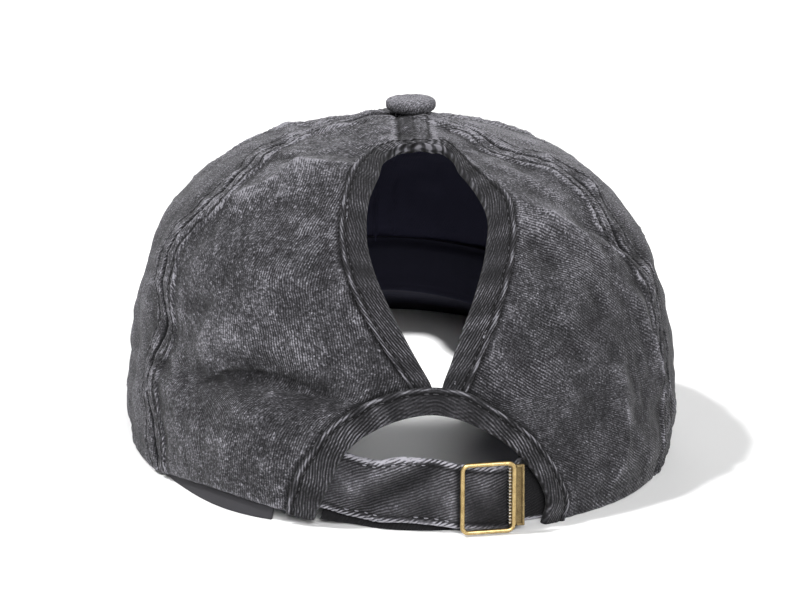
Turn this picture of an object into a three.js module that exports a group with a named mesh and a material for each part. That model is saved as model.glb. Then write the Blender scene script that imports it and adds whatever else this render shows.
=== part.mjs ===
// Ponytail baseball cap: a soft, unstructured, low-profile six-panel cap of
// washed cotton twill. A teardrop opening runs down the centre back from just
// under the button, and meets a half-moon opening over the adjuster strap.
// Millimetres, +Z up, brim towards +Y, back towards -Y.
//
// The crown is one smooth surface S(az, v, n):
//   az  azimuth in degrees, 0 at the centre back, +90 on +X, 180 at the front
//   v   0 at the rim to 1 at the apex, along the height table CROWN
//   n   millimetres outwards along the surface normal
// Each panel, binding and band is a wall laid on that surface.

import * as THREE from 'three';

// ---------------------------------------------------------------- sizes, mm
const CLOTH = 1.7;            // crown wall: twill, seam allowance and tape
const GAP = 0.3;              // air kept between neighbouring pieces
const HALF_SEAM = 0.16;       // half of the air at a panel seam
const FRONT_LIFT = 26;        // height of the front rim over the table, at its middle
const PANEL_TOP = 0.985;      // panels stop here, round the button's shank

const BUTTON = { radius: 8.1, height: 5.0, shankRadius: 1.7, shankDepth: 3.4, offsetX: 2.6 };

const BINDING = { leg: 0.9, play: 0.45, clothShare: 0.32 };   // folded strip over a raw edge
const SWEATBAND = { thick: 1.2, topV: 0.205, from: 31.5, outer: 2.3 };
const BRIM = { thick: 3.2, rootAngle: 66, halfWidth: 86, length: 127, originY: 40, power: 2.0 };
const STRAP = { thick: 1.7, left: -45, right: 25.6 };
const TAIL = { thick: 1.2, left: -33.2, right: 23, top: 18, air: 0.5, flare: 0.9 };
const TAB = { thick: 1.6, left: 28.2, right: 45, depth: 3.8, low: 2.2, high: 18.4 };
const BUCKLE = { width: 17.0, height: 22.0, wire: 1.5, corner: 1.9, x: 15.7, z: 11.3, lift: 1.6 };
const CLAMP = { width: 4.6, height: 18.6, thick: 0.7, teeth: 15, tooth: 0.75, rim: 0.75, tuck: 0.4 };

// crown heights and half sizes: v, height, half width, depth to back, depth to front
const CROWN = [
  { v: 0.00, z: 0.0, side: 89.5, back: 93.5, front: 97.0 },
  { v: 0.08, z: 11.0, side: 90.4, back: 94.0, front: 98.0 },
  { v: 0.20, z: 29.0, side: 89.4, back: 91.5, front: 97.0 },
  { v: 0.35, z: 50.0, side: 86.0, back: 86.0, front: 94.0 },
  { v: 0.50, z: 69.0, side: 79.0, back: 76.5, front: 86.5 },
  { v: 0.64, z: 84.0, side: 67.5, back: 63.5, front: 74.0 },
  { v: 0.76, z: 95.0, side: 53.0, back: 49.0, front: 58.0 },
  { v: 0.88, z: 103.5, side: 32.0, back: 29.0, front: 34.0 },
  { v: 1.00, z: 108.0, side: 0.0, back: 0.0, front: 0.0 },
];

// the rim's departures from that outline: centre azimuth, half reach in degrees,
// millimetres outwards and upwards; each dies out at its reach and by v = 0.5
const RIM = [
  { az: 18, reach: 34, out: 4.5, up: 0.0 },
  { az: -66, reach: 40, out: -1.5, up: 0.0 },
  { az: -50, reach: 42, out: 0.0, up: 3.2 },
];

// main folds (+) and dents (-): a stroke from one point to another, its half
// width and depth in millimetres
const FOLDS = [
  { az0: -54, v0: 0.23, az1: -30, v1: 0.295, wide: 6, deep: -2.6 },
  { az0: -34, v0: 0.295, az1: -20, v1: 0.27, wide: 5, deep: -2.2 },
  { az0: -48, v0: 0.345, az1: -24, v1: 0.37, wide: 9, deep: 1.8 },
  { az0: -57, v0: 0.68, az1: -44, v1: 0.77, wide: 7, deep: 1.8 },
  { az0: -44, v0: 0.785, az1: -28, v1: 0.80, wide: 6, deep: 1.6 },
  { az0: 30, v0: 0.71, az1: 36, v1: 0.64, wide: 6, deep: 1.6 },
  { az0: 37, v0: 0.635, az1: 51, v1: 0.535, wide: 6, deep: 1.8 },
  { az0: 50, v0: 0.60, az1: 66, v1: 0.485, wide: 6, deep: -2.0 },
  { az0: 52, v0: 0.86, az1: 47, v1: 0.80, wide: 6, deep: -1.6 },
  { az0: 56, v0: 0.39, az1: 58, v1: 0.20, wide: 5, deep: 1.8 },
  { az0: 42, v0: 0.24, az1: 38, v1: 0.04, wide: 6, deep: 1.6 },
  { az0: -66, v0: 0.36, az1: -64, v1: 0.31, wide: 6, deep: -2.2 },
  { az0: 110, v0: 0.30, az1: 138, v1: 0.36, wide: 9, deep: -2.4 },
  { az0: -112, v0: 0.42, az1: -140, v1: 0.34, wide: 9, deep: -2.2 },
  { az0: 150, v0: 0.62, az1: 172, v1: 0.58, wide: 9, deep: -1.8 },
  { az0: -170, v0: 0.45, az1: -150, v1: 0.52, wide: 9, deep: -1.6 },
];

// panel seams: azimuth at each height
const SEAMS = {
  rearLeft: [{ v: 0, az: -67 }, { v: 0.2, az: -70.5 }, { v: 0.36, az: -64 }, { v: 0.49, az: -70 }, { v: 0.6, az: -63.5 }, { v: 0.78, az: -66 }, { v: 1, az: -66 }],
  rearRight: [{ v: 0, az: 61 }, { v: 0.16, az: 63 }, { v: 0.3, az: 61.5 }, { v: 0.43, az: 69.5 }, { v: 0.56, az: 61.5 }, { v: 0.74, az: 57 }, { v: 1, az: 54 }],
  frontLeft: [{ v: 0, az: -124 }, { v: 0.5, az: -123 }, { v: 1, az: -122 }],
  frontRight: [{ v: 0, az: 123 }, { v: 0.5, az: 122 }, { v: 1, az: 121 }],
  front: [{ v: 0, az: 180 }, { v: 1, az: 180 }],
  back: [{ v: 0, az: 2 }, { v: 0.86, az: 6 }, { v: 1, az: 6 }],
};

// teardrop opening, bottom to top: inner and outer edges of its binding as X at
// each height
const TEARDROP = [
  { v: 0.304, outL: -6.2, inL: 0.5, inR: 4.3, outR: 12.4 },
  { v: 0.345, outL: -10.2, inL: -2.6, inR: 6.8, outR: 15.2 },
  { v: 0.40, outL: -15.0, inL: -6.6, inR: 9.9, outR: 19.6 },
  { v: 0.46, outL: -19.4, inL: -10.5, inR: 13.7, outR: 23.2 },
  { v: 0.53, outL: -22.6, inL: -14.1, inR: 17.4, outR: 26.6 },
  { v: 0.60, outL: -24.0, inL: -16.0, inR: 20.1, outR: 29.2 },
  { v: 0.66, outL: -23.6, inL: -16.0, inR: 21.3, outR: 29.4 },
  { v: 0.71, outL: -22.4, inL: -15.0, inR: 20.4, outR: 28.0 },
  { v: 0.76, outL: -20.6, inL: -12.8, inR: 17.4, outR: 23.6 },
  { v: 0.80, outL: -18.2, inL: -10.4, inR: 14.6, outR: 19.2 },
  { v: 0.84, outL: -13.4, inL: -7.0, inR: 12.0, outR: 15.2 },
  { v: 0.864, outL: -7.4, inL: -2.6, inR: 8.6, outR: 11.6, outV: 0.882 },
];
const TEARDROP_TOP = { v: 0.870, x: 3.0, outV: 0.893 };

// half-moon opening, foot to crest: inner and outer edges of its binding
const ARCH = [
  { inL: -34.2, vInL: 0.000, outL: -41.9, vOutL: 0.000, inR: 34.4, vInR: 0.000, outR: 40.9, vOutR: 0.000 },
  { inL: -32.4, vInL: 0.040, outL: -41.2, vOutL: 0.045, inR: 35.2, vInR: 0.045, outR: 41.5, vOutR: 0.040 },
  { inL: -29.6, vInL: 0.090, outL: -39.4, vOutL: 0.095, inR: 32.4, vInR: 0.090, outR: 38.7, vOutR: 0.085 },
  { inL: -26.6, vInL: 0.140, outL: -34.8, vOutL: 0.152, inR: 27.3, vInR: 0.142, outR: 34.6, vOutR: 0.141 },
  { inL: -21.6, vInL: 0.182, outL: -28.4, vOutL: 0.213, inR: 21.3, vInR: 0.183, outR: 28.0, vOutR: 0.197 },
  { inL: -14.5, vInL: 0.215, outL: -19.0, vOutL: 0.262, inR: 13.8, vInR: 0.215, outR: 19.4, vOutR: 0.246 },
  { inL: -7.0, vInL: 0.235, outL: -8.6, vOutL: 0.290, inR: 8.0, vInR: 0.233, outR: 11.0, vOutR: 0.284 },
];
const ARCH_TOP = { x: 1.0, vIn: 0.2425, vOut: 0.2975 };

// strap edges along X: its lowest and highest Z, and how far its outer face lies
// inside (-) the crown surface
const STRAP_COURSE = [
  { x: -46, low: 5.4, high: 24.6, n: -3.6 },
  { x: -33, low: 4.4, high: 24.2, n: -3.6 },
  { x: -25, low: 2.6, high: 22.9, n: -3.5 },
  { x: -20, low: 2.2, high: 22.0, n: -2.7 },
  { x: -16, low: 2.0, high: 21.6, n: -1.8 },
  { x: -8, low: 2.2, high: 23.0, n: -1.4 },
  { x: 0, low: 1.9, high: 22.4, n: -1.4 },
  { x: 9, low: 1.5, high: 21.0, n: -1.4 },
  { x: 18, low: 1.4, high: 20.4, n: -1.4 },
  { x: 28, low: 1.6, high: 20.2, n: -1.7 },
];

const MATERIAL = {
  twill: () => new THREE.MeshStandardMaterial({ color: 0x5a595d, roughness: 0.95, metalness: 0 }),
  bias: () => new THREE.MeshStandardMaterial({ color: 0x3c3b40, roughness: 0.95, metalness: 0 }),
  lining: () => new THREE.MeshStandardMaterial({ color: 0x17161d, roughness: 0.9, metalness: 0 }),
  brass: () => new THREE.MeshStandardMaterial({ color: 0x957a4c, roughness: 0.38, metalness: 1 }),
};

// ------------------------------------------------------- the crown surface
const DEG = Math.PI / 180;
const clamp = (t, a, b) => Math.min(b, Math.max(a, t));
const smooth = (t) => { const s = clamp(t, 0, 1); return s * s * (3 - 2 * s); };
const lerp = (a, b, t) => a + (b - a) * t;

// monotone cubic through a table's rows: key against value
function along(table, key, value, t) {
  const n = table.length;
  const x = (i) => table[i][key];
  const y = (i) => table[i][value];
  const slope = (i) => (y(i + 1) - y(i)) / (x(i + 1) - x(i));
  const tangent = (i) => {
    if (i === 0) return slope(0);
    if (i === n - 1) return slope(n - 2);
    const a = slope(i - 1);
    const b = slope(i);
    if (a * b <= 0) return 0;
    const ha = x(i) - x(i - 1);
    const hb = x(i + 1) - x(i);
    return (3 * (ha + hb)) / ((2 * hb + ha) / a + (hb + 2 * ha) / b);
  };
  let i = 0;
  while (i < n - 2 && t > x(i + 1)) i += 1;
  const h = x(i + 1) - x(i);
  const s = clamp((t - x(i)) / h, 0, 1);
  return (2 * s ** 3 - 3 * s ** 2 + 1) * y(i) + (s ** 3 - 2 * s ** 2 + s) * h * tangent(i)
    + (-2 * s ** 3 + 3 * s ** 2) * y(i + 1) + (s ** 3 - s ** 2) * h * tangent(i + 1);
}

const turn = (a) => ((((a + 180) % 360) + 360) % 360) - 180;

function bare(az, v, rides = 1) {
  const c = Math.cos(az * DEG);
  const s = Math.sin(az * DEG);
  let side = along(CROWN, 'v', 'side', v);
  let deep = c > 0 ? along(CROWN, 'v', 'back', v) : along(CROWN, 'v', 'front', v);
  let z = along(CROWN, 'v', 'z', v) + (c < 0 ? FRONT_LIFT * c * c * (1 - v) ** 2 : 0);
  for (const r of RIM) {
    const d = Math.abs(turn(az - r.az)) / r.reach;
    if (d < 1 && v < 0.5) {
      const w = Math.cos(d * 90 * DEG) ** 2 * (1 - smooth(v / 0.5));
      side += r.out * w;
      deep += r.out * w;
      z += r.up * w * rides;
    }
  }
  return new THREE.Vector3(side * s + 0.5 * v * v, -deep * c, z);
}

// how far the folds move the cloth at a point
function fold(az, v) {
  const across = 88;
  const along1 = 150;
  let sum = 0;
  for (const f of FOLDS) {
    const r = Math.max(0.15, along(CROWN, 'v', 'side', v) / 90);
    const px = turn(az - f.az0) * DEG * across * r;
    const py = (v - f.v0) * along1;
    const qx = turn(f.az1 - f.az0) * DEG * across * r;
    const qy = (f.v1 - f.v0) * along1;
    const len2 = qx * qx + qy * qy;
    const t = clamp((px * qx + py * qy) / len2, 0, 1);
    const d2 = (px - qx * t) ** 2 + (py - qy * t) ** 2;
    sum += f.deep * Math.exp(-d2 / (f.wide * f.wide));
  }
  return sum * smooth(v / 0.1) * (1 - smooth((v - 0.9) / 0.08));
}

function normal(az, v) {
  const e = 0.004;
  const du = bare(az + 1, v).sub(bare(az - 1, v));
  const dv = bare(az, Math.min(1, v + e)).sub(bare(az, Math.max(0, v - e)));
  const n = du.cross(dv).normalize();
  n.z *= smooth(v / 0.08);                 // the rim's cut edge lies level
  return n.normalize();
}

// rides 0 leaves out the lifted hem: the sweatband stays down where the hem rises
function S(az, v, n = 0, rides = 1) {
  return bare(az, v, rides).addScaledVector(normal(az, v), n + fold(az, v));
}

// azimuth of the point at X on the back half of the crown
const azAt = (x, v) => Math.asin(clamp((x - 0.5 * v * v) / along(CROWN, 'v', 'side', v), -1, 1)) / DEG;
const SX = (x, v, n = 0) => S(azAt(x, v), v, n);

// height parameter at which the crown surface reaches Z, near the back
function vAt(x, z) {
  let lo = 0;
  let hi = 0.95;
  for (let i = 0; i < 30; i += 1) {
    const mid = (lo + hi) / 2;
    if (bare(azAt(x, mid), mid).z < z) lo = mid; else hi = mid;
  }
  return (lo + hi) / 2;
}

// ------------------------------------------------------------ mesh builders
function solid(points, triangles) {
  const volume = triangles.reduce((sum, [a, b, c]) => sum
    + points[a].dot(new THREE.Vector3().crossVectors(points[b], points[c])), 0);
  const out = volume > 0 ? triangles : triangles.map(([a, b, c]) => [a, c, b]);
  const geometry = new THREE.BufferGeometry();
  geometry.setAttribute('position', new THREE.Float32BufferAttribute(points.flatMap((p) => [p.x, p.y, p.z]), 3));
  geometry.setIndex(out.flat());
  geometry.computeVertexNormals();
  return geometry;
}

// a wall between two sheets of the same grid, rows by columns
function wall(rows, cols, outer, inner) {
  const points = [];
  for (const sheet of [outer, inner]) {
    for (let i = 0; i < rows; i += 1) for (let j = 0; j < cols; j += 1) points.push(sheet(i, j));
  }
  const id = (s, i, j) => s * rows * cols + i * cols + j;
  const tri = [];
  const quad = (a, b, c, d) => tri.push([a, b, c], [a, c, d]);
  for (let i = 0; i < rows - 1; i += 1) {
    for (let j = 0; j < cols - 1; j += 1) {
      quad(id(0, i, j), id(0, i, j + 1), id(0, i + 1, j + 1), id(0, i + 1, j));
      quad(id(1, i, j), id(1, i + 1, j), id(1, i + 1, j + 1), id(1, i, j + 1));
    }
  }
  for (let i = 0; i < rows - 1; i += 1) {
    quad(id(0, i, 0), id(0, i + 1, 0), id(1, i + 1, 0), id(1, i, 0));
    quad(id(0, i, cols - 1), id(1, i, cols - 1), id(1, i + 1, cols - 1), id(0, i + 1, cols - 1));
  }
  for (let j = 0; j < cols - 1; j += 1) {
    quad(id(0, 0, j), id(1, 0, j), id(1, 0, j + 1), id(0, 0, j + 1));
    quad(id(0, rows - 1, j), id(0, rows - 1, j + 1), id(1, rows - 1, j + 1), id(1, rows - 1, j));
  }
  return solid(points, tri);
}

// a closed section carried along an open line: at(i, k) is section point k at station i
function sweep(stations, section, at) {
  const m = section.length;
  const points = [];
  for (let i = 0; i < stations; i += 1) for (let k = 0; k < m; k += 1) points.push(at(i, k));
  const tri = [];
  for (let i = 0; i < stations - 1; i += 1) {
    for (let k = 0; k < m; k += 1) {
      const a = i * m + k;
      const b = i * m + ((k + 1) % m);
      tri.push([a, b, b + m], [a, b + m, a + m]);
    }
  }
  const cap = THREE.ShapeUtils.triangulateShape(section.map((p) => new THREE.Vector2(p.f * 8, p.n)), []);
  const last = (stations - 1) * m;
  const flip = THREE.ShapeUtils.area(section.map((p) => new THREE.Vector2(p.f * 8, p.n))) > 0;
  for (const [a, b, c] of cap) {
    tri.push(flip ? [a, c, b] : [a, b, c]);
    tri.push(flip ? [last + a, last + b, last + c] : [last + a, last + c, last + b]);
  }
  return solid(points, tri);
}

const pieces = new THREE.Group();
function piece(name, geometry, material) {
  const mesh = new THREE.Mesh(geometry, material);
  mesh.name = name;
  pieces.add(mesh);
  return mesh;
}

// -------------------------------------------------------------- the panels
const seamAt = (name, v) => along(SEAMS[name], 'v', 'az', v);
const seamAir = (v) => HALF_SEAM / Math.max(3, along(CROWN, 'v', 'side', v)) / DEG;

// cut edge of the cloth, inside the fold of its binding
const cloth = (inner, outer, more = 0) => lerp(inner, outer, BINDING.clothShare + 0.04 + more);

// back panel edge on one side of the centre: azimuth at each height
function backRows(side) {
  const rows = [];
  for (const a of ARCH) {
    const v = cloth(a[`vIn${side}`], a[`vOut${side}`]);
    rows.push({ v, az: azAt(cloth(a[`in${side}`], a[`out${side}`]), v) });
  }
  const meet = side === 'L' ? { v: 0.268, x: -2.2 } : { v: 0.268, x: 6.6 };
  rows.push({ v: meet.v, az: azAt(meet.x, meet.v) });
  for (const t of TEARDROP) {
    const vOut = t.outV ?? t.v;
    const more = t.outV ? 0.16 : 0.04;      // deeper play round the tight top
    const v = cloth(t.v, vOut, more);
    rows.push({ v, az: azAt(cloth(t[`in${side}`], t[`out${side}`], more), v) });
  }
  // half-way rows where the heights lie far apart
  for (let i = rows.length - 1; i > ARCH.length; i -= 1) {
    const a = rows[i - 1];
    const b = rows[i];
    if (b.v - a.v > 0.045) {
      const v = (a.v + b.v) / 2;
      const x = (r) => along(CROWN, 'v', 'side', r.v) * Math.sin(r.az * DEG) + 0.5 * r.v * r.v;
      rows.splice(i, 0, { v, az: azAt((x(a) + x(b)) / 2, v) });
    }
  }
  const top = cloth(TEARDROP_TOP.v, TEARDROP_TOP.outV, 0.16);
  const air = side === 'L' ? -1 : 1;
  for (const v of [top, 0.905, 0.93, 0.96, PANEL_TOP]) {
    rows.push({ v, az: seamAt('back', v) + air * seamAir(v) });
  }
  return rows;
}

function panel(name, rows, left, right, columns, spread = (t) => t) {
  const at = (i, j, n) => {
    const r = rows[i];
    const v = typeof r === 'number' ? r : r.v;
    return S(lerp(left(r), right(r), spread(j / (columns - 1))), v, n);
  };
  piece(name, wall(rows.length, columns, (i, j) => at(i, j, 0), (i, j) => at(i, j, -CLOTH)), MATERIAL.twill());
}

const backLeft = backRows('L');
const backRight = backRows('R');
panel('panel_back_left', backLeft, (r) => seamAt('rearLeft', r.v) + seamAir(r.v), (r) => r.az, 12, (t) => 1 - (1 - t) ** 1.5);
panel('panel_back_right', backRight, (r) => r.az, (r) => seamAt('rearRight', r.v) - seamAir(r.v), 12, (t) => t ** 1.5);

// panels that share a seam share their heights too, so that the seam's air is even
const leftRows = backLeft.map((r) => r.v);
const rightRows = backRight.map((r) => r.v);
const between = (name, rows, from, to) => panel(
  name, rows,
  (v) => seamAt(from, v) + seamAir(v),
  (v) => seamAt(to, v) - seamAir(v), 8,
);
between('panel_side_left', leftRows, 'frontLeft', 'rearLeft');
between('panel_side_right', rightRows, 'rearRight', 'frontRight');
between('panel_front_right', rightRows, 'frontRight', 'front');
panel('panel_front_left', leftRows, (v) => -180 + seamAir(v), (v) => seamAt('frontLeft', v) - seamAir(v), 8);

// ------------------------------------------------------------ the bindings
// a strip folded over the cloth's edge; f 0 is the fold, f 1 the stitched edge
const FOLDED = (() => {
  const out = BINDING.play;
  const inn = -CLOTH - BINDING.play;
  const leg = BINDING.leg;
  const stop = BINDING.clothShare - 0.02;
  return [
    { f: 1, n: out }, { f: 1, n: out + leg }, { f: 0.08, n: out + leg },
    { f: 0, n: -CLOTH / 2 }, { f: 0.08, n: inn - leg }, { f: 1, n: inn - leg },
    { f: 1, n: inn }, { f: stop, n: inn }, { f: stop, n: out },
  ];
})();

function course(points) {
  return new THREE.CatmullRomCurve3(points.map((p) => new THREE.Vector3(p.x, p.v * 160, 0)), false, 'centripetal');
}

function binding(name, innerLine, outerLine, stations) {
  const inner = course(innerLine);
  const outer = course(outerLine);
  piece(name, sweep(stations, FOLDED, (i, k) => {
    const t = i / (stations - 1);
    const a = inner.getPoint(t);
    const b = outer.getPoint(t);
    const p = a.lerp(b, FOLDED[k].f);
    return SX(p.x, p.y / 160, FOLDED[k].n);
  }), MATERIAL.bias());
}

const mirrorOrder = (rows, pick, top) => [
  ...rows.map((r) => pick(r, 'L')), top, ...[...rows].reverse().map((r) => pick(r, 'R')),
];
binding('ponytail_binding',
  mirrorOrder(TEARDROP, (r, s) => ({ x: r[`in${s}`], v: r.v }), TEARDROP_TOP),
  mirrorOrder(TEARDROP, (r, s) => ({ x: r[`out${s}`], v: r.outV ?? r.v }), { x: TEARDROP_TOP.x, v: TEARDROP_TOP.outV }),
  53);
binding('arch_binding',
  mirrorOrder(ARCH, (r, s) => ({ x: r[`in${s}`], v: r[`vIn${s}`] }), { x: ARCH_TOP.x, v: ARCH_TOP.vIn }),
  mirrorOrder(ARCH, (r, s) => ({ x: r[`out${s}`], v: r[`vOut${s}`] }), { x: ARCH_TOP.x, v: ARCH_TOP.vOut }),
  37);

// ------------------------------------------------------------ the sweatband
{
  const cols = 49;
  const levels = [0, 0.07, 0.14, SWEATBAND.topV];
  const at = (i, j, n) => S(lerp(SWEATBAND.from, 360 - SWEATBAND.from, j / (cols - 1)), levels[i], n, 0);
  piece('sweatband', wall(levels.length, cols,
    (i, j) => at(i, j, -SWEATBAND.outer), (i, j) => at(i, j, -SWEATBAND.outer - SWEATBAND.thick)), MATERIAL.lining());
}

// ----------------------------------------------------------------- the brim
{
  const cols = 31;
  const rows = 8;
  const at = (i, j, rise) => {
    const u = lerp(-1, 1, j / (cols - 1));
    const w = i / (rows - 1);
    const az = 180 - u * BRIM.rootAngle;
    const root = S(az, 0, 0.9);
    const a = u * 90 * DEG;
    const e = 2 / BRIM.power;
    const edge = new THREE.Vector3(
      BRIM.halfWidth * Math.sign(u) * Math.abs(Math.sin(a)) ** e,
      BRIM.originY + BRIM.length * Math.abs(Math.cos(a)) ** e,
      0,
    );
    const p = root.lerp(edge, w);
    p.z += rise;
    return p;
  };
  piece('brim', wall(rows, cols, (i, j) => at(i, j, BRIM.thick), (i, j) => at(i, j, 0)), MATERIAL.twill());
}

// --------------------------------------------------------------- the button
{
  const r = BUTTON.radius;
  const h = BUTTON.height;
  const profile = [
    [0, -BUTTON.shankDepth], [BUTTON.shankRadius, -BUTTON.shankDepth], [BUTTON.shankRadius, 0],
    [r * 0.86, 0], [r * 0.97, h * 0.14], [r, h * 0.36], [r * 0.96, h * 0.58],
    [r * 0.82, h * 0.79], [r * 0.58, h * 0.92], [r * 0.3, h * 0.985], [0, h],
  ].map(([x, y]) => new THREE.Vector2(x, y));
  const g = new THREE.LatheGeometry(profile, 30);
  const button = piece('top_button', g, MATERIAL.twill());
  button.rotation.x = Math.PI / 2;
  button.position.set(BUTTON.offsetX, 0, 108 + GAP + 0.05);
}

// ------------------------------------------------- the strap and the buckle
{
  const cols = 27;
  const rows = 4;
  const at = (i, j, n) => {
    const x = lerp(STRAP.left, STRAP.right, j / (cols - 1));
    const z = lerp(along(STRAP_COURSE, 'x', 'low', x), along(STRAP_COURSE, 'x', 'high', x), i / (rows - 1));
    const p = SX(x, vAt(x, z), along(STRAP_COURSE, 'x', 'n', x) + n);
    return p;
  };
  piece('adjuster_strap', wall(rows, cols, (i, j) => at(i, j, 0), (i, j) => at(i, j, -STRAP.thick)), MATERIAL.twill());
}
{
  // the strap's free end, doubled back inside it: upright behind the strap, and
  // flared outwards below the strap's lower edge down to the table
  const cols = 21;
  const at = (i, j, n) => {
    const x = lerp(TAIL.left, TAIL.right, j / (cols - 1));
    const low = along(STRAP_COURSE, 'x', 'low', x);
    const upright = along(STRAP_COURSE, 'x', 'n', x) - STRAP.thick - TAIL.air;
    const z = [0, low / 2, low, (low + TAIL.top) / 2, TAIL.top][i];
    return SX(x, vAt(x, z), upright + TAIL.flare * Math.max(0, low - z) + n);
  };
  piece('strap_tail', wall(5, cols, (i, j) => at(i, j, 0), (i, j) => at(i, j, -TAIL.thick)), MATERIAL.lining());
}
{
  const cols = 8;
  const rows = 3;
  const at = (i, j, n) => {
    const x = lerp(TAB.left, TAB.right, j / (cols - 1));
    const z = lerp(TAB.low, TAB.high, i / (rows - 1));
    return SX(x, vAt(x, z), n - TAB.depth);
  };
  piece('buckle_tab', wall(rows, cols, (i, j) => at(i, j, 0), (i, j) => at(i, j, -TAB.thick)), MATERIAL.twill());
}
{
  // the buckle lies flat on the strap: its own frame has X along the strap,
  // Y up and Z outwards
  const v = vAt(BUCKLE.x, BUCKLE.z);
  const az = azAt(BUCKLE.x, v);
  const outward = normal(az, v);
  const up = new THREE.Vector3(0, 0, 1).addScaledVector(outward, -outward.z).normalize();
  const right = new THREE.Vector3().crossVectors(up, outward).normalize();
  const seat = new THREE.Group();
  seat.matrixAutoUpdate = false;
  seat.matrix.makeBasis(right, up, outward).setPosition(S(az, v, BUCKLE.lift - 1.0));
  pieces.add(seat);

  const w = BUCKLE.width / 2 - BUCKLE.wire / 2;
  const h = BUCKLE.height / 2 - BUCKLE.wire / 2;
  const c = BUCKLE.corner;
  const path = new THREE.CurvePath();
  const corner = (x0, y0, cx, cy, x1, y1) => path.add(new THREE.QuadraticBezierCurve3(
    new THREE.Vector3(x0, y0, 0), new THREE.Vector3(cx, cy, 0), new THREE.Vector3(x1, y1, 0)));
  const bar = (x0, y0, x1, y1) => path.add(new THREE.LineCurve3(new THREE.Vector3(x0, y0, 0), new THREE.Vector3(x1, y1, 0)));
  bar(-w + c, -h, w - c, -h);
  corner(w - c, -h, w, -h, w, -h + c);
  bar(w, -h + c, w, h - c);
  corner(w, h - c, w, h, w - c, h);
  bar(w - c, h, -w + c, h);
  corner(-w + c, h, -w, h, -w, h - c);
  bar(-w, h - c, -w, -h + c);
  corner(-w, -h + c, -w, -h, -w + c, -h);

  // ring of round wire: stations along the outline, section turned to follow it
  const stations = 60;
  const around = 10;
  const points = [];
  for (let i = 0; i < stations; i += 1) {
    const p = path.getPointAt(i / stations);
    const t = path.getTangentAt(i / stations);
    const side = new THREE.Vector3(t.y, -t.x, 0).normalize();
    for (let k = 0; k < around; k += 1) {
      const a = (k / around) * 2 * Math.PI;
      points.push(p.clone().addScaledVector(side, (BUCKLE.wire / 2) * Math.cos(a))
        .add(new THREE.Vector3(0, 0, (BUCKLE.wire / 2) * Math.sin(a))));
    }
  }
  const tri = [];
  for (let i = 0; i < stations; i += 1) {
    for (let k = 0; k < around; k += 1) {
      const a = i * around + k;
      const b = i * around + ((k + 1) % around);
      const d = ((i + 1) % stations) * around + k;
      const e = ((i + 1) % stations) * around + ((k + 1) % around);
      tri.push([a, b, e], [a, e, d]);
    }
  }
  const frame = new THREE.Mesh(solid(points, tri), MATERIAL.brass());
  frame.name = 'buckle_frame';
  frame.position.z = BUCKLE.wire / 2;
  seat.add(frame);

  // clamp plate: passes under the right bar, toothed on its left edge
  const left = BUCKLE.width / 2 - BUCKLE.wire - CLAMP.tuck;
  const tall = CLAMP.height / 2;
  const plate = new THREE.Shape();
  plate.moveTo(left, -tall);
  plate.lineTo(left + CLAMP.width - CLAMP.rim, -tall);
  plate.quadraticCurveTo(left + CLAMP.width, -tall, left + CLAMP.width, -tall + CLAMP.rim);
  plate.lineTo(left + CLAMP.width, tall - CLAMP.rim);
  plate.quadraticCurveTo(left + CLAMP.width, tall, left + CLAMP.width - CLAMP.rim, tall);
  plate.lineTo(left, tall);
  const pitch = CLAMP.height / CLAMP.teeth;
  for (let i = CLAMP.teeth - 1; i >= 0; i -= 1) {
    plate.lineTo(left - CLAMP.tooth, -tall + (i + 0.5) * pitch);
    if (i > 0) plate.lineTo(left, -tall + i * pitch);
  }
  const clampGeometry = new THREE.ExtrudeGeometry(plate, { depth: CLAMP.thick, bevelEnabled: false, curveSegments: 4 });
  const clampMesh = new THREE.Mesh(clampGeometry, MATERIAL.brass());
  clampMesh.name = 'buckle_clamp';
  clampMesh.position.z = -GAP - CLAMP.thick;
  seat.add(clampMesh);
}

// ------------------------------------------------------------ the whole cap
// the origin is the middle of the underside of the bounding box
const cap = new THREE.Group();
cap.name = 'ponytail_cap';
cap.add(pieces);
pieces.updateMatrixWorld(true);
const box = new THREE.Box3().setFromObject(pieces, true);
pieces.position.set(-(box.min.x + box.max.x) / 2, -(box.min.y + box.max.y) / 2, -box.min.z);

export default cap;
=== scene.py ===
import math

import bpy
import numpy as np
from mathutils import Matrix, Vector


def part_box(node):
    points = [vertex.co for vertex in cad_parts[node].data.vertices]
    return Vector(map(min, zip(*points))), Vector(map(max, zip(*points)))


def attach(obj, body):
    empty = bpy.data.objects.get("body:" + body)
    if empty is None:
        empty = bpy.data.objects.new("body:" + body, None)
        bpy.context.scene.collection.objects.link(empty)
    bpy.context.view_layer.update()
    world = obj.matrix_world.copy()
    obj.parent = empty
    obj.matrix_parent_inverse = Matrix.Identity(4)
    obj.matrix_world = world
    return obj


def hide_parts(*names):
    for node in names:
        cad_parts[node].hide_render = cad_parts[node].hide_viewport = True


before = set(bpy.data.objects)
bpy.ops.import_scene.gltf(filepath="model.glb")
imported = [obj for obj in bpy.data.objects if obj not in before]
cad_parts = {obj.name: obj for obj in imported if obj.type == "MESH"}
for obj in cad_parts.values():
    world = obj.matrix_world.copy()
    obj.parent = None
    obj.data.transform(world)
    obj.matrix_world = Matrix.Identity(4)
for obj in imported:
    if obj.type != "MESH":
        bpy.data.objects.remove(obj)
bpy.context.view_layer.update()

# The cap is modelled in millimetres in its own axes: the back towards -Y, the
# brim towards +Y, X = Y = 0 on the crown's axis. part() turns that into the
# model's metres, by the place of the button.
BUTTON_X = 2.6
_lo, _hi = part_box("top_button")
ORIGIN = np.array([(_lo[0] + _hi[0]) * 500 - BUTTON_X, (_lo[1] + _hi[1]) * 500, 0.0])


def part(p):
    return (np.asarray(p, float) + ORIGIN) * 0.001


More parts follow.
